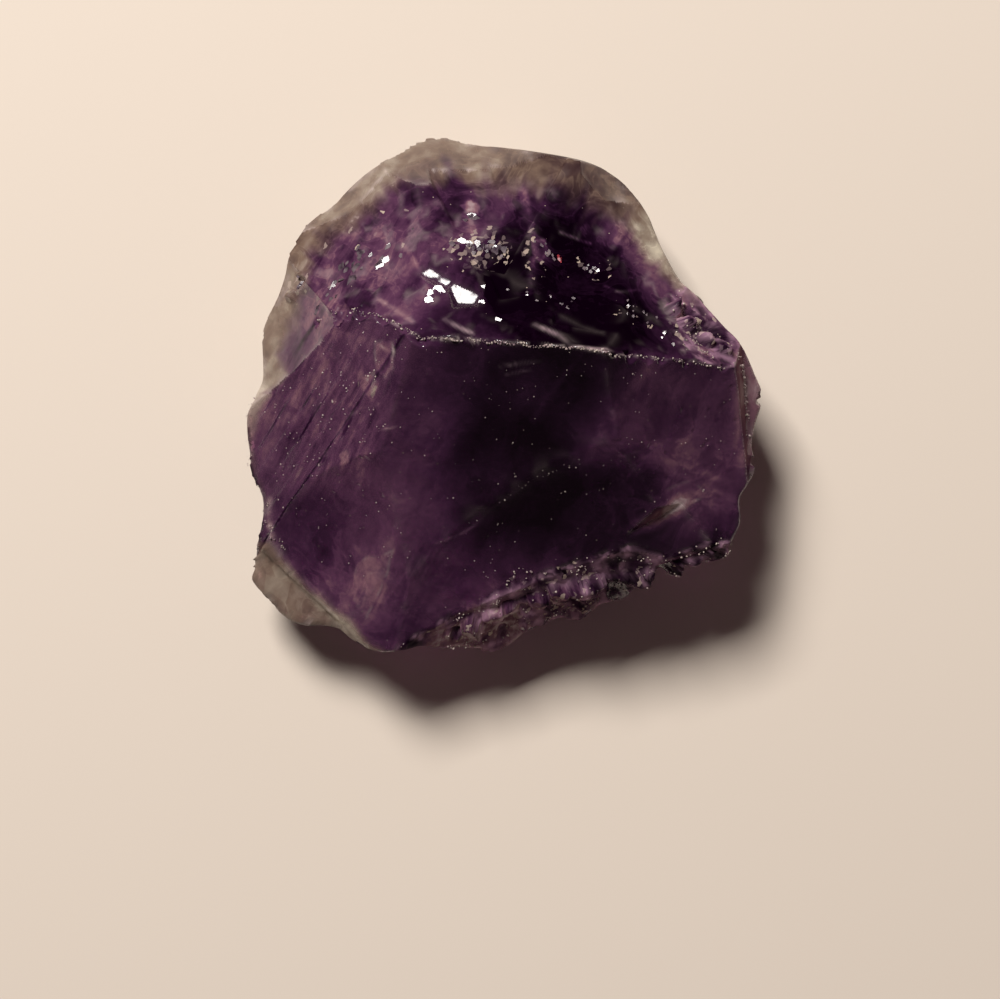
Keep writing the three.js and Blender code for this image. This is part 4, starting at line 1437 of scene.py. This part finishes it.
@dataclass(frozen=True)
class QuartzFinish:
    """A surface of the stone. All of them share the stone's clear, purple inside and its colours.

    The colours are what the surface scatters back. A clearer finish scatters a smaller share of the light,
    so its base colour is stronger, and neighbouring finishes meet without an edge.

    Attributes:
        name: The material's name.
        transmission: How much light enters the stone instead of being scattered at its surface.
        purple: The colours of the broken quartz, from the deepest tone to the palest; its ends come first.
        matte: The colours of its outer skin, in the same way.
        crushed_colour: The colour of crushed grains.
        glint_and_speck_colour: The colour of the palest painted glints on small facets, and of the specks.
        glint_and_speck_deeper: The colour of the deepest of them.
        grain: The size of the finest relief, in mm.
        grain_depth: Its depth, in mm.
        absorbed: The colour that white light turns to inside.
        density: How fast it does, for each metre.
        gloss: How strongly the surface mirrors, where 0.5 is whole, unbroken quartz.
    """

    name: str = "quartz"
    transmission: float = 0.8
    gloss: float = 0.5
    purple: Stops = ((0.0, "#0A010A"), (1.0, "#B8A4A6"), (0.2, "#1D0B1D"), (0.4, "#371C35"), (0.6, "#54334C"),
                     (0.8, "#7C5864"))
    matte: Stops = ((0.0, "#2C1C22"), (1.0, "#D0C4B0"), (0.25, "#483634"), (0.5, "#746054"), (0.75, "#988A7C"))
    crushed_colour: str = "#C4B2B0"
    glint_and_speck_colour: str = "#B4A294"
    glint_and_speck_deeper: str = "#86707A"
    grain: float = 0.4
    grain_depth: float = 0.004
    absorbed: str = "#9C0FA2"
    density: float = 130.0

    @property
    def share(self) -> float:
        """The share of the light that the surface scatters."""
        return 1 - self.transmission

    def base(self, colour: str) -> tuple[float, float, float, float]:
        """Gives the base colour that scatters a wanted colour, or comes nearest to it in the same hue."""
        wanted = [v / self.share for v in linear(colour)[:3]]
        return (*(v / max(1.0, *wanted) for v in wanted), 1.0)

    def scattered(self, tone: Array, crushed: Array, frost: Array) -> Array:
        """Gives how much of the light the surface must scatter to show its colour.

        Args:
            tone: How pale it is, from 0 to 1.
            crushed: How crushed it is, from 0 to 1.
            frost: How frosted it is, from 0 to 1.

        Returns:
            The share for each point.
        """
        purple, matte = (
            np.interp(tone, [s[0] for s in sorted(stops)], [max(linear(s[1])[:3]) for s in sorted(stops)])
            for stops in (self.purple, self.matte)
        )
        skin = purple + (matte - purple) * frost
        return skin + (max(linear(self.crushed_colour)[:3]) - skin) * crushed

    def ramp_of(self, tree: Tree, tone: Node, stops: Stops) -> Socket:
        """Adds a colour ramp.

        Args:
            tree: The material's tree.
            tone: What it reads.
            stops: Its positions and colours; the first two are its ends.

        Returns:
            The ramp's colour.
        """
        colours = node(tree, "ShaderNodeValToRGB", {"Fac": tone})
        for i, (position, colour) in enumerate(stops):
            stop = colours.color_ramp.elements[i] if i < 2 else colours.color_ramp.elements.new(position)
            stop.position, stop.color = position, self.base(colour)
        return colours.outputs["Color"]

    def material(self) -> bpy.types.Material:
        """Makes the material.

        Returns:
            The material.
        """
        made, tree, shader = new_material(self.name, {
            "IOR": QUARTZ_IOR, "Transmission Weight": self.transmission, "Specular IOR Level": self.gloss})
        place = node(tree, "ShaderNodeTexCoord").outputs["Object"]
        read = {
            name: node(tree, "ShaderNodeAttribute", attribute_name=name).outputs["Fac"]
            for name in ("tone", "crushed", "frost", "satin", *MARKS)
        }
        fine = node(tree, "ShaderNodeTexNoise", {"Vector": place, "Scale": 1 / (self.grain * MM), "Detail": 3.0})
        drift = node(tree, RANGE, {"Value": fine, "To Min": -0.07, "To Max": 0.07})
        tone = node(tree, MATH, {0: read["tone"], 1: drift}, operation="ADD")
        patterns = StonePatterns(tree, place)
        for name, pattern in (("streaks", patterns.streaks()), ("veils", patterns.veils()),
                              ("facets", patterns.facets())):
            tone = node(tree, MATH, {0: pattern, 1: read[name], 2: tone}, operation="MULTIPLY_ADD")
        # Painted glints on small facets, and pale specks, laid over the skin
        pale = patterns.glints_and_specks(read["glints_and_specks"])
        glint_and_speck_mix = node(tree, MIX, {
            0: pale, 6: self.base(self.glint_and_speck_deeper), 7: self.base(self.glint_and_speck_colour)}, data_type="RGBA")
        skin = self.ramp_of(tree, tone, self.purple)
        for much, over in ((read["frost"], self.ramp_of(tree, tone, self.matte)), (pale, glint_and_speck_mix.outputs[2]),
                           (read["crushed"], self.base(self.crushed_colour))):
            skin = node(tree, MIX, {0: much, 6: skin, 7: over}, data_type="RGBA").outputs[2]
        tree.links.new(skin, shader["Base Color"])
        tree.links.new(read["satin"], shader["Roughness"])
        bump = node(tree, "ShaderNodeBump", {"Height": fine, "Distance": self.grain_depth * MM})
        tree.links.new(bump.outputs[0], shader["Normal"])
        volume = node(tree, "ShaderNodeVolumeAbsorption", {"Color": linear(self.absorbed), "Density": self.density})
        tree.links.new(volume.outputs[0], tree.nodes["Material Output"].inputs["Volume"])
        return made


@dataclass(frozen=True)
class ClearAmethyst(QuartzFinish):
    """Purple quartz, freshly broken: glassy, see-through at thin edges and nearly black where it is thick."""

    name: str = "amethyst_broken_clear"
    grain_depth: float = 0.006


@dataclass(frozen=True)
class MilkyAmethyst(QuartzFinish):
    """Purple quartz with many tiny healed cracks under its surface, which glow a little lilac."""

    name: str = "amethyst_broken_milky"
    transmission: float = 0.7
    grain_depth: float = 0.008


@dataclass(frozen=True)
class CloudyQuartz(QuartzFinish):
    """Pale quartz, half frosted: light spreads inside it, so it looks like fogged glass."""

    name: str = "quartz_skin_cloudy"
    transmission: float = 0.58
    grain_depth: float = 0.012


@dataclass(frozen=True)
class FrostedQuartz(QuartzFinish):
    """Pale quartz with a matte outer skin: it lets the light through as a milky, olive-grey glow."""

    name: str = "quartz_skin_frosted"
    transmission: float = 0.4
    grain_depth: float = 0.018


@dataclass(frozen=True)
class FlakedAmethyst(QuartzFinish):
    """Purple quartz full of flakes and cracks, so that little of the room mirrors in it as a whole."""

    name: str = "amethyst_broken_flaked"
    transmission: float = 0.05
    gloss: float = 0.0
    grain_depth: float = 0.01


@dataclass(frozen=True)
class HacklyAmethyst(QuartzFinish):
    """The deepest purple quartz, so full of steps and cracks that light sinks into it: almost black."""

    name: str = "amethyst_broken_hackly"
    transmission: float = 0.0
    gloss: float = 0.0
    grain_depth: float = 0.012


@dataclass(frozen=True)
class CrushedCrust(QuartzFinish):
    """Quartz crushed along the break: pale sugary crumbs, with painted shade in the hollows between them."""

    name: str = "quartz_crust_crushed"
    transmission: float = 0.1
    crushed_colour: str = "#C699B4"
    gloss: float = 0.0
    grain: float = 0.3
    grain_depth: float = 0.03


@dataclass(frozen=True)
class BrokenBits:
    """Loose-looking bits of broken quartz, in patches of two colours.

    Attributes:
        name: The material's name.
        colours: The two colours.
        transmission: How much light enters the bits.
        roughness: How dull their faces are.
        patch: The size of the patches, in mm.
    """

    name: str
    colours: tuple[str, str]
    transmission: float
    roughness: float
    patch: float

    def material(self) -> bpy.types.Material:
        """Makes the material.

        Returns:
            The material.
        """
        made, tree, shader = new_material(self.name, {
            "IOR": QUARTZ_IOR, "Transmission Weight": self.transmission, "Roughness": self.roughness})
        place = node(tree, "ShaderNodeTexCoord").outputs["Object"]
        patch = node(tree, "ShaderNodeTexNoise", {"Vector": place, "Scale": 1 / (self.patch * MM), "Detail": 2.0})
        share = node(tree, RANGE, {"Value": patch, "From Min": 0.35, "From Max": 0.65})
        one, other = (linear(colour) for colour in self.colours)
        colour = node(tree, MIX, {0: share, 6: one, 7: other}, data_type="RGBA")
        tree.links.new(colour.outputs[2], shader["Base Color"])
        return made


@dataclass(frozen=True)
class MirrorChip(BrokenBits):
    """Tiny flat faces of broken quartz that throw back the light like bits of glass."""

    name: str = "quartz_chips_glassy"
    colours: tuple[str, str] = ("#4A3448", "#A8969E")
    transmission: float = 0.5
    roughness: float = 0.16
    patch: float = 0.7


@dataclass(frozen=True)
class RedGlintChips(BrokenBits):
    """A painted red glint: a few dull red chips just under the surface."""

    name: str = "painted_red_glint"
    colours: tuple[str, str] = ("#6A1824", "#C84450")
    transmission: float = 0.0
    roughness: float = 0.25
    patch: float = 0.7


@dataclass(frozen=True)
class SugaryGrains(BrokenBits):
    """Grains of crushed quartz, as they lie along a broken edge: small, pale and glinting."""

    name: str = "quartz_grains_crushed"
    colours: tuple[str, str] = ("#E0D2C6", "#9A8088")
    transmission: float = 0.2
    roughness: float = 0.3
    patch: float = 0.6


@dataclass(frozen=True)
class ChipPatch:
    """A patch of small flat chips on the upper side.

    Attributes:
        at: Its middle, in mm.
        spread: How far the chips lie from it along x and y, in mm.
        count: How many there are.
        sizes: The smallest and the largest radius, in mm.
        long: How many times longer than wide they are.
        turn: The way they are long, in degrees.
        stray: How far they lean from the one way that mirrors the lamp, in degrees.
    """

    at: Vec3
    spread: tuple[float, float]
    count: int
    sizes: tuple[float, float]
    long: float = 1.2
    turn: float = 120.0
    stray: float = 9.0


CHIP_PATCHES = [ChipPatch(*row) for row in (
    ((-1.5, 7.8, 15.3), (0.0, 0.0), 1, (0.22, 0.22), 1.2, 120.0, 0.0),
    ((-1.6, 6.3, 15.9), (0.0, 0.0), 1, (0.24, 0.24), 1.2, 120.0, 0.0),
    ((-0.5, 5.0, 17.2), (0.0, 0.0), 1, (0.28, 0.28), 1.2, 120.0, 0.0),
    ((-5.6, 6.8, 15.9), (0.5, 0.5), 4, (0.15, 0.3), 1.6, 125, 2.0),
    ((-5.0, 7.3, 15.7), (0.4, 0.3), 2, (0.2, 0.3), 1.6, 125, 2.0),
    ((-1.6, 11.0, 12.6), (1.7, 1.0), 26, (0.12, 0.36), 1.3, 40, 12.0),
    ((-2.6, 13.6, 11.0), (0.4, 0.6), 5, (0.2, 0.4), 1.2, 0, 12.0),
    ((6.6, 9.6, 11.9), (0.8, 0.5), 7, (0.08, 0.2), 1.3, 60, 8.0),
    ((3.2, 11.0, 12.2), (0.8, 1.2), 8, (0.1, 0.26), 1.4, 90, 14.0),
    ((-10.5, 9.5, 12.0), (3.6, 2.8), 30, (0.1, 0.32), 1.8, 60, 22.0),
    ((-15.9, 8.6, 9.3), (0.7, 0.7), 9, (0.08, 0.22), 1.2, 0, 12.0),
    ((3.0, 6.5, 15.0), (3.5, 1.4), 12, (0.06, 0.16), 1.3, 0, 10.0),
    ((10.5, 5.5, 13.5), (2.5, 2.0), 16, (0.06, 0.18), 1.4, 60, 14.0),
)]
# Red chips that paint a small red glint
RED_PATCH = [ChipPatch((4.15, 10.25, 12.1), (0.28, 0.3), 5, (0.08, 0.16), 1.6, 90, 14.0)]


@dataclass
class MirrorChips:
    """The small flat facets that glint among the broken faces of the upper side.

    Attributes:
        chunk: The stone that they are set in.
        name: The piece's name.
        patches: Where they lie.
        finish: What they are made of.
        seed: What their places and sizes are drawn from.
        proud: How far their middles stand out of the surface, in mm.
        root: How deep they reach into it, in mm.
    """

    chunk: Chunk
    name: str
    patches: list[ChipPatch]
    finish: BrokenBits
    seed: int = 21
    proud: float = 0.035
    root: float = 0.25

    def chip(self, patch: ChipPatch, rng: np.random.Generator) -> tuple[Array, list[list[int]]]:
        """Makes one chip: an uneven flat polygon with a root that narrows into the stone.

        Args:
            patch: The patch that it belongs to.
            rng: What it is drawn from.

        Returns:
            Its points, in mm, and its faces.
        """
        centre = np.array(self.chunk.centre)
        way = np.array(patch.at) + [*(rng.normal(0, 0.6, 2) * patch.spread), 0.0] - centre
        point = self.chunk.surface(way)
        tilt, bearing = MIRROR_LEAN
        lean_off = patch.stray * rng.normal(0, 0.7, 2)
        normal = lean(tilt + lean_off[0], bearing + lean_off[1] * 3)
        count = int(rng.integers(4, 7))
        turns = (np.arange(count) + rng.uniform(-0.3, 0.3, count)) * 2 * np.pi / count
        radius = rng.uniform(*patch.sizes)
        ring = np.column_stack([np.cos(turns) * patch.long, np.sin(turns)]) * radius * rng.uniform(0.8, 1.2, (count, 1))
        east, north, _ = turned(math.radians(patch.turn)).T
        flat = np.outer(ring[:, 0], east - normal * (east @ normal))
        flat += np.outer(ring[:, 1], north - normal * (north @ normal))
        top = point + normal * self.proud + flat
        low = point - normal * self.root + 0.6 * flat
        faces = [list(range(count)), list(range(2 * count - 1, count - 1, -1))]
        faces += [[k, k + count, (k + 1) % count + count, (k + 1) % count] for k in range(count)]
        return np.vstack([top, low]), faces

    def build(self) -> Piece:
        """Makes all the chips as one piece.

        Returns:
            The chips.
        """
        rng = np.random.default_rng(self.seed)
        points, faces, count = [], [], 0
        for patch in self.patches:
            for _ in range(patch.count):
                own, rings = self.chip(patch, rng)
                points.append(own)
                faces += [[count + k for k in ring] for ring in rings]
                count += len(own)
        piece = new_piece(self.name, np.vstack(points), faces)
        piece.data.materials.append(self.finish.material())
        return piece


@dataclass
class GrainTree:
    """Geometry nodes that strew angular grains along lines or over faces.

    Attributes:
        over_faces: Whether the grains lie over faces instead of along edges.
        sockets: The identifier of each named input, once the tree is built.
    """

    over_faces: bool
    sockets: dict[str, str] = field(default_factory=dict)

    def build(self) -> Tree:
        """Builds the tree, with a named input for each size.

        Returns:
            The tree.
        """
        tree = bpy.data.node_groups.new("strewn_grains", "GeometryNodeTree")
        tree.interface.new_socket("Geometry", in_out="INPUT", socket_type="NodeSocketGeometry")
        for name in ("Spacing", "Spread", "Smallest", "Largest", "Kept", "Clump", "Seed", "Finish"):
            kind = {"Seed": "Int", "Finish": "Material"}.get(name, "Float")
            socket = tree.interface.new_socket(name, in_out="INPUT", socket_type=f"NodeSocket{kind}")
            self.sockets[name] = socket.identifier
        tree.interface.new_socket("Geometry", in_out="OUTPUT", socket_type="NodeSocketGeometry")
        given = node(tree, "NodeGroupInput").outputs
        if self.over_faces:
            square = node(tree, MATH, {0: given["Spacing"], 1: -2.0}, operation="POWER")
            points = node(tree, "GeometryNodeDistributePointsOnFaces", {
                "Mesh": given["Geometry"], "Density": square, "Seed": given["Seed"]})
        else:
            curve = node(tree, "GeometryNodeMeshToCurve", {"Mesh": given["Geometry"]})
            points = node(tree, "GeometryNodeResampleCurve", {"Curve": curve, "Length": given["Spacing"]},
                          mode="LENGTH")
        back = node(tree, MATH, {0: given["Spread"], 1: -1.0}, operation="MULTIPLY")
        seed = given["Seed"]
        stray = node(tree, RANDOM, {0: back, 1: given["Spread"], "Seed": seed}, data_type="FLOAT_VECTOR")
        placed = node(tree, "GeometryNodeSetPosition", {"Geometry": points, "Offset": stray})
        grain = node(tree, "GeometryNodeMeshIcoSphere", {"Radius": 1.0, "Subdivisions": 1})
        turn = node(tree, RANDOM, {0: (0.0,) * 3, 1: (6.28,) * 3, "Seed": seed}, data_type="FLOAT_VECTOR")
        size = node(tree, RANDOM, {2: given["Smallest"], 3: given["Largest"], "Seed": seed},
                    data_type="FLOAT").outputs[1]
        flat = node(tree, RANDOM, {0: (0.45,) * 3, 1: (1.0,) * 3, "Seed": 4}, data_type="FLOAT_VECTOR")
        scale = node(tree, "ShaderNodeVectorMath", {0: flat, "Scale": size}, operation="SCALE")
        lumpy = node(tree, "ShaderNodeTexNoise", {
            "Vector": node(tree, "GeometryNodeInputPosition"), "Scale": given["Clump"], "Detail": 1.0})
        kept = node(tree, MATH, {0: lumpy, 1: given["Kept"]}, operation="LESS_THAN")
        strewn = node(tree, "GeometryNodeInstanceOnPoints", {
            "Points": placed, "Selection": kept, "Instance": grain, "Rotation": turn, "Scale": scale})
        real = node(tree, "GeometryNodeRealizeInstances", {"Geometry": strewn})
        done = node(tree, "GeometryNodeSetMaterial", {"Geometry": real, "Material": given["Finish"]})
        node(tree, "NodeGroupOutput", {"Geometry": done})
        return tree


@dataclass(frozen=True)
class Strewn:
    """One strewing of crushed grains.

    Attributes:
        line: The line that they follow, in mm, or nothing for the crusts.
        spacing: The distance between two grains, in mm.
        spread: How far they stray, in mm.
        sizes: The smallest and the largest radius, in mm.
        kept: How much of the strewing is kept, in clumps: 0.5 is half of it, and 0.7 nearly all.
        clump: How far apart the clumps lie, in mm.
    """

    line: tuple[Vec3, ...]
    spacing: float
    spread: float
    sizes: tuple[float, float]
    kept: float = 0.52
    clump: float = 1.4


SEAMS = [Strewn(*row) for row in (
    (tuple(CREST[3:9]), 0.075, 0.09, (0.04, 0.14), 0.62, 1.8),
    (tuple(CREST[:4]), 0.1, 0.12, (0.03, 0.11), 0.55),
    (tuple(CREST[8:]), 0.09, 0.13, (0.03, 0.12), 0.56),
    (((17.6, 2.9, 11.9), (18.2, 1.4, 10.3), (18.5, -0.1, 9.9), (18.6, -1.6, 9.8), (18.7, -3.1, 9.8)),
     0.09, 0.2, (0.05, 0.16), 0.7),
    (((13.4, 7.1, 10.7), (14.1, 4.8, 12.2), (14.8, 3.2, 13.4), (16.3, 2.3, 13.4)), 0.12, 0.22, (0.04, 0.13)),
    (((-18.0, -8.1, 7.4), (-18.2, -9.7, 7.1), (-18.0, -11.2, 7.7), (-17.4, -12.2, 7.6), (-16.6, -12.8, 7.6)),
     0.12, 0.16, (0.03, 0.1)),
    (((-19.2, 0.5, 6.7), (-19.5, -2.5, 7.0), (-19.0, -5.5, 7.0), (-18.3, -8.0, 7.0)), 0.22, 0.2, (0.03, 0.09)),
    (((-4.6, -17.7, 9.3), (-2.6, -16.9, 9.3), (-0.9, -16.3, 9.4), (0.9, -13.9, 10.8), (4.3, -13.9, 10.7),
      (7.6, -12.9, 11.3), (11.3, -12.3, 11.3), (14.2, -11.8, 11.0), (16.8, -11.2, 10.9)),
     0.16, 0.25, (0.03, 0.12)),
    (((-6.0, -18.9, 7.5), (-2.0, -19.4, 6.6), (0.8, -18.8, 6.4), (3.2, -17.3, 7.2), (6.8, -16.4, 7.9),
      (10.1, -14.4, 8.8), (13.6, -12.3, 9.6), (17.2, -11.2, 9.8)), 0.12, 0.22, (0.04, 0.13)),
    (((5.7, -5.3, 15.8), (3.6, -6.2, 15.2), (1.5, -7.2, 14.5), (-0.7, -8.7, 13.6), (-2.7, -10.4, 12.7),
      (-5.2, -11.5, 12.3)), 0.35, 0.15, (0.02, 0.06)),
)]

# The tiny white specks on the smooth faces and on the left slope: skin, spacing, spread, sizes, share kept, clump
SPECKS = [(Skin.CLEAN, 1.25, 0.02, (0.02, 0.07), 0.52, 2.6), (Skin.STRIATED, 0.7, 0.02, (0.02, 0.1), 0.5, 1.5)]


@dataclass
class CrushedGrains:
    """The crushed grains along the crest, the rims and the crusts.

    Attributes:
        chunk: The stone that they lie on.
        crust_spacing: The distance between two grains on the crusts, in mm.
        crust_sizes: Their smallest and largest radius there, in mm.
    """

    chunk: Chunk
    crust_spacing: float = 0.7
    crust_sizes: tuple[float, float] = (0.03, 0.12)

    def strew(self, source: Piece, tree: GrainTree, values: Strewn, seed: int,
              finish: bpy.types.Material) -> bpy.types.Mesh:
        """Runs the tree on a source and keeps the mesh.

        Args:
            source: The edges or faces; it is removed afterwards.
            tree: The tree.
            values: The sizes.
            seed: What places are drawn from.
            finish: The grains' material.

        Returns:
            The grains as one mesh.
        """
        modifier = source.modifiers.new("grains", "NODES")
        modifier.node_group = tree.build()
        given = {
            "Spacing": values.spacing * MM, "Spread": values.spread * MM, "Smallest": values.sizes[0] * MM,
            "Largest": values.sizes[1] * MM, "Kept": values.kept, "Clump": 1 / (values.clump * MM), "Seed": seed,
            "Finish": finish,
        }
        for name, value in given.items():
            modifier[tree.sockets[name]] = value
        ready = source.evaluated_get(bpy.context.evaluated_depsgraph_get())
        mesh = bpy.data.meshes.new_from_object(ready)
        source.modifiers.remove(modifier)
        bpy.data.objects.remove(source)
        return mesh

    def seam(self, values: Strewn) -> Piece:
        """Lays a line onto the stone's surface.

        Args:
            values: The strewing that follows the line.

        Returns:
            The line, as edges.
        """
        line = smooth_line(values.line, fine=12) - np.array(self.chunk.centre)
        points = np.array([self.chunk.surface(way) for way in line])
        return new_piece("seam", points, (), [(i, i + 1) for i in range(len(line) - 1)])

    def build(self) -> Piece:
        """Makes all the grains as one piece.

        Returns:
            The grains.
        """
        finish = SugaryGrains().material()
        meshes = [self.strew(self.seam(v), GrainTree(False), v, 10 + i, finish) for i, v in enumerate(SEAMS)]
        chunk = self.chunk
        patches = [(chunk.crust > 0.6, Strewn((), self.crust_spacing, 0.05, self.crust_sizes))]
        patches += [((chunk.skins == skin) & (chunk.points[:, 2] > 8), Strewn((), *values)) for skin, *values in SPECKS]
        for i, (here, values) in enumerate(patches):
            patch = new_piece("patch", chunk.points, chunk.triangles[here[chunk.triangles].all(axis=1)])
            meshes.append(self.strew(patch, GrainTree(True), values, 50 + i, finish))
        points, joined, count = [], [], 0
        for mesh in meshes:
            points.append(np.array([v.co[:] for v in mesh.vertices]) / MM)
            joined += [[count + k for k in polygon.vertices] for polygon in mesh.polygons]
            count += len(mesh.vertices)
        piece = new_piece("crushed_grains", np.vstack(points), joined)
        piece.data.materials.append(finish)
        return piece


def hang(piece: Piece, at: Sequence[float]) -> None:
    """Links a lamp or a camera to the scene, at a place in mm."""
    bpy.context.scene.collection.objects.link(piece)
    piece.location = Vector(at) * MM


@dataclass
class Studio:
    """The plain pale floor, the soft light and the camera above the stone.

    Attributes:
        floor_half: Half the floor's width, in mm.
        floor_gap: How far the floor lies under the stone, in mm, so that the two don't flicker.
        camera_at: Where the camera hangs, in mm.
        focal_length: Its lens, in mm.
        sensor: The width of its sensor, in mm.
        lamp_way: The tilt and the bearing of the lamp as the stone sees it, in degrees.
        lamp_away: How far it is, in mm.
        lamp_aim: The height that it faces, in mm.
        lamp_size: Its width, in metres.
        lamp_power: Its power, in watts.
        lamp_colour: Its colour.
        floor_colour: The floor's.
        room_colour: The room's.
        room_glow: How bright the room is.
    """

    floor_half: float = 600.0
    floor_gap: float = 0.04
    camera_at: Vec3 = (-0.31, -8.10, 223.0)
    focal_length: float = 100.0
    sensor: float = 36.0
    lamp_way: tuple[float, float] = (40, 117)
    lamp_away: float = 600.0
    lamp_aim: float = 8.0
    lamp_size: float = 0.198
    lamp_power: float = 4.55
    lamp_colour: str = "#FFFBF5"
    floor_colour: str = "#E9DCCF"
    room_colour: str = "#FFDADC"
    room_glow: float = 0.052

    def floor(self) -> None:
        """Lays the floor, matte and pale."""
        corners = np.array([(-1, -1, 0), (1, -1, 0), (1, 1, 0), (-1, 1, 0)]) * self.floor_half
        piece = new_piece("pale_floor", corners - (0, 0, self.floor_gap), [(0, 1, 2, 3)])
        finish = new_material("matte_floor", {"Base Color": linear(self.floor_colour), "Roughness": 0.9})
        piece.data.materials.append(finish[0])

    def lamp(self) -> None:
        """Hangs the soft square lamp, which faces the stone."""
        data = bpy.data.lights.new("key_lamp", "AREA")
        data.energy, data.size, data.color = self.lamp_power, self.lamp_size, linear(self.lamp_colour)[:3]
        lamp = bpy.data.objects.new("key_lamp", data)
        away = Vector((lean(*self.lamp_way) * self.lamp_away).tolist())
        hang(lamp, away + Vector((0, 0, self.lamp_aim)))
        lamp.rotation_euler = (-away).to_track_quat("-Z", "Y").to_euler()

    def camera(self) -> None:
        """Hangs the camera straight above."""
        data = bpy.data.cameras.new("camera")
        data.lens, data.sensor_width, data.clip_start = self.focal_length, self.sensor, 0.01
        camera = bpy.data.objects.new("camera", data)
        hang(camera, self.camera_at)
        bpy.context.scene.camera = camera

    def build(self) -> None:
        """Sets it all up, in a room that is dim and a little pink."""
        self.camera()
        self.floor()
        self.lamp()
        world = bpy.data.worlds.new("dim_room")
        world.use_nodes = True
        glow = world.node_tree.nodes["Background"].inputs
        glow["Color"].default_value, glow["Strength"].default_value = linear(self.room_colour), self.room_glow
        bpy.context.scene.world = world
        bpy.context.scene.view_settings.view_transform = "Standard"


def main() -> None:
    """Builds every part of the scene in order."""
    logging.basicConfig(level=logging.INFO, format="%(name)s: %(message)s", stream=sys.stdout)
    Studio().build()
    stone = BrokenStone()
    chunk = Chunk(stone, Relief(stone), cells=268)
    chunk.shape()
    body = chunk.build()
    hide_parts(CHUNK)
    chips = MirrorChips(chunk, "mirror_chips", CHIP_PATCHES, MirrorChip()).build()
    red = MirrorChips(chunk, "red_glint_chips", RED_PATCH, RedGlintChips()).build()
    for piece in (body, chips, red, CrushedGrains(chunk).build()):
        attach(piece, "root")
        log.info("%s: %d faces", piece.name, len(piece.data.polygons))


if __name__ == "__main__":
    main()
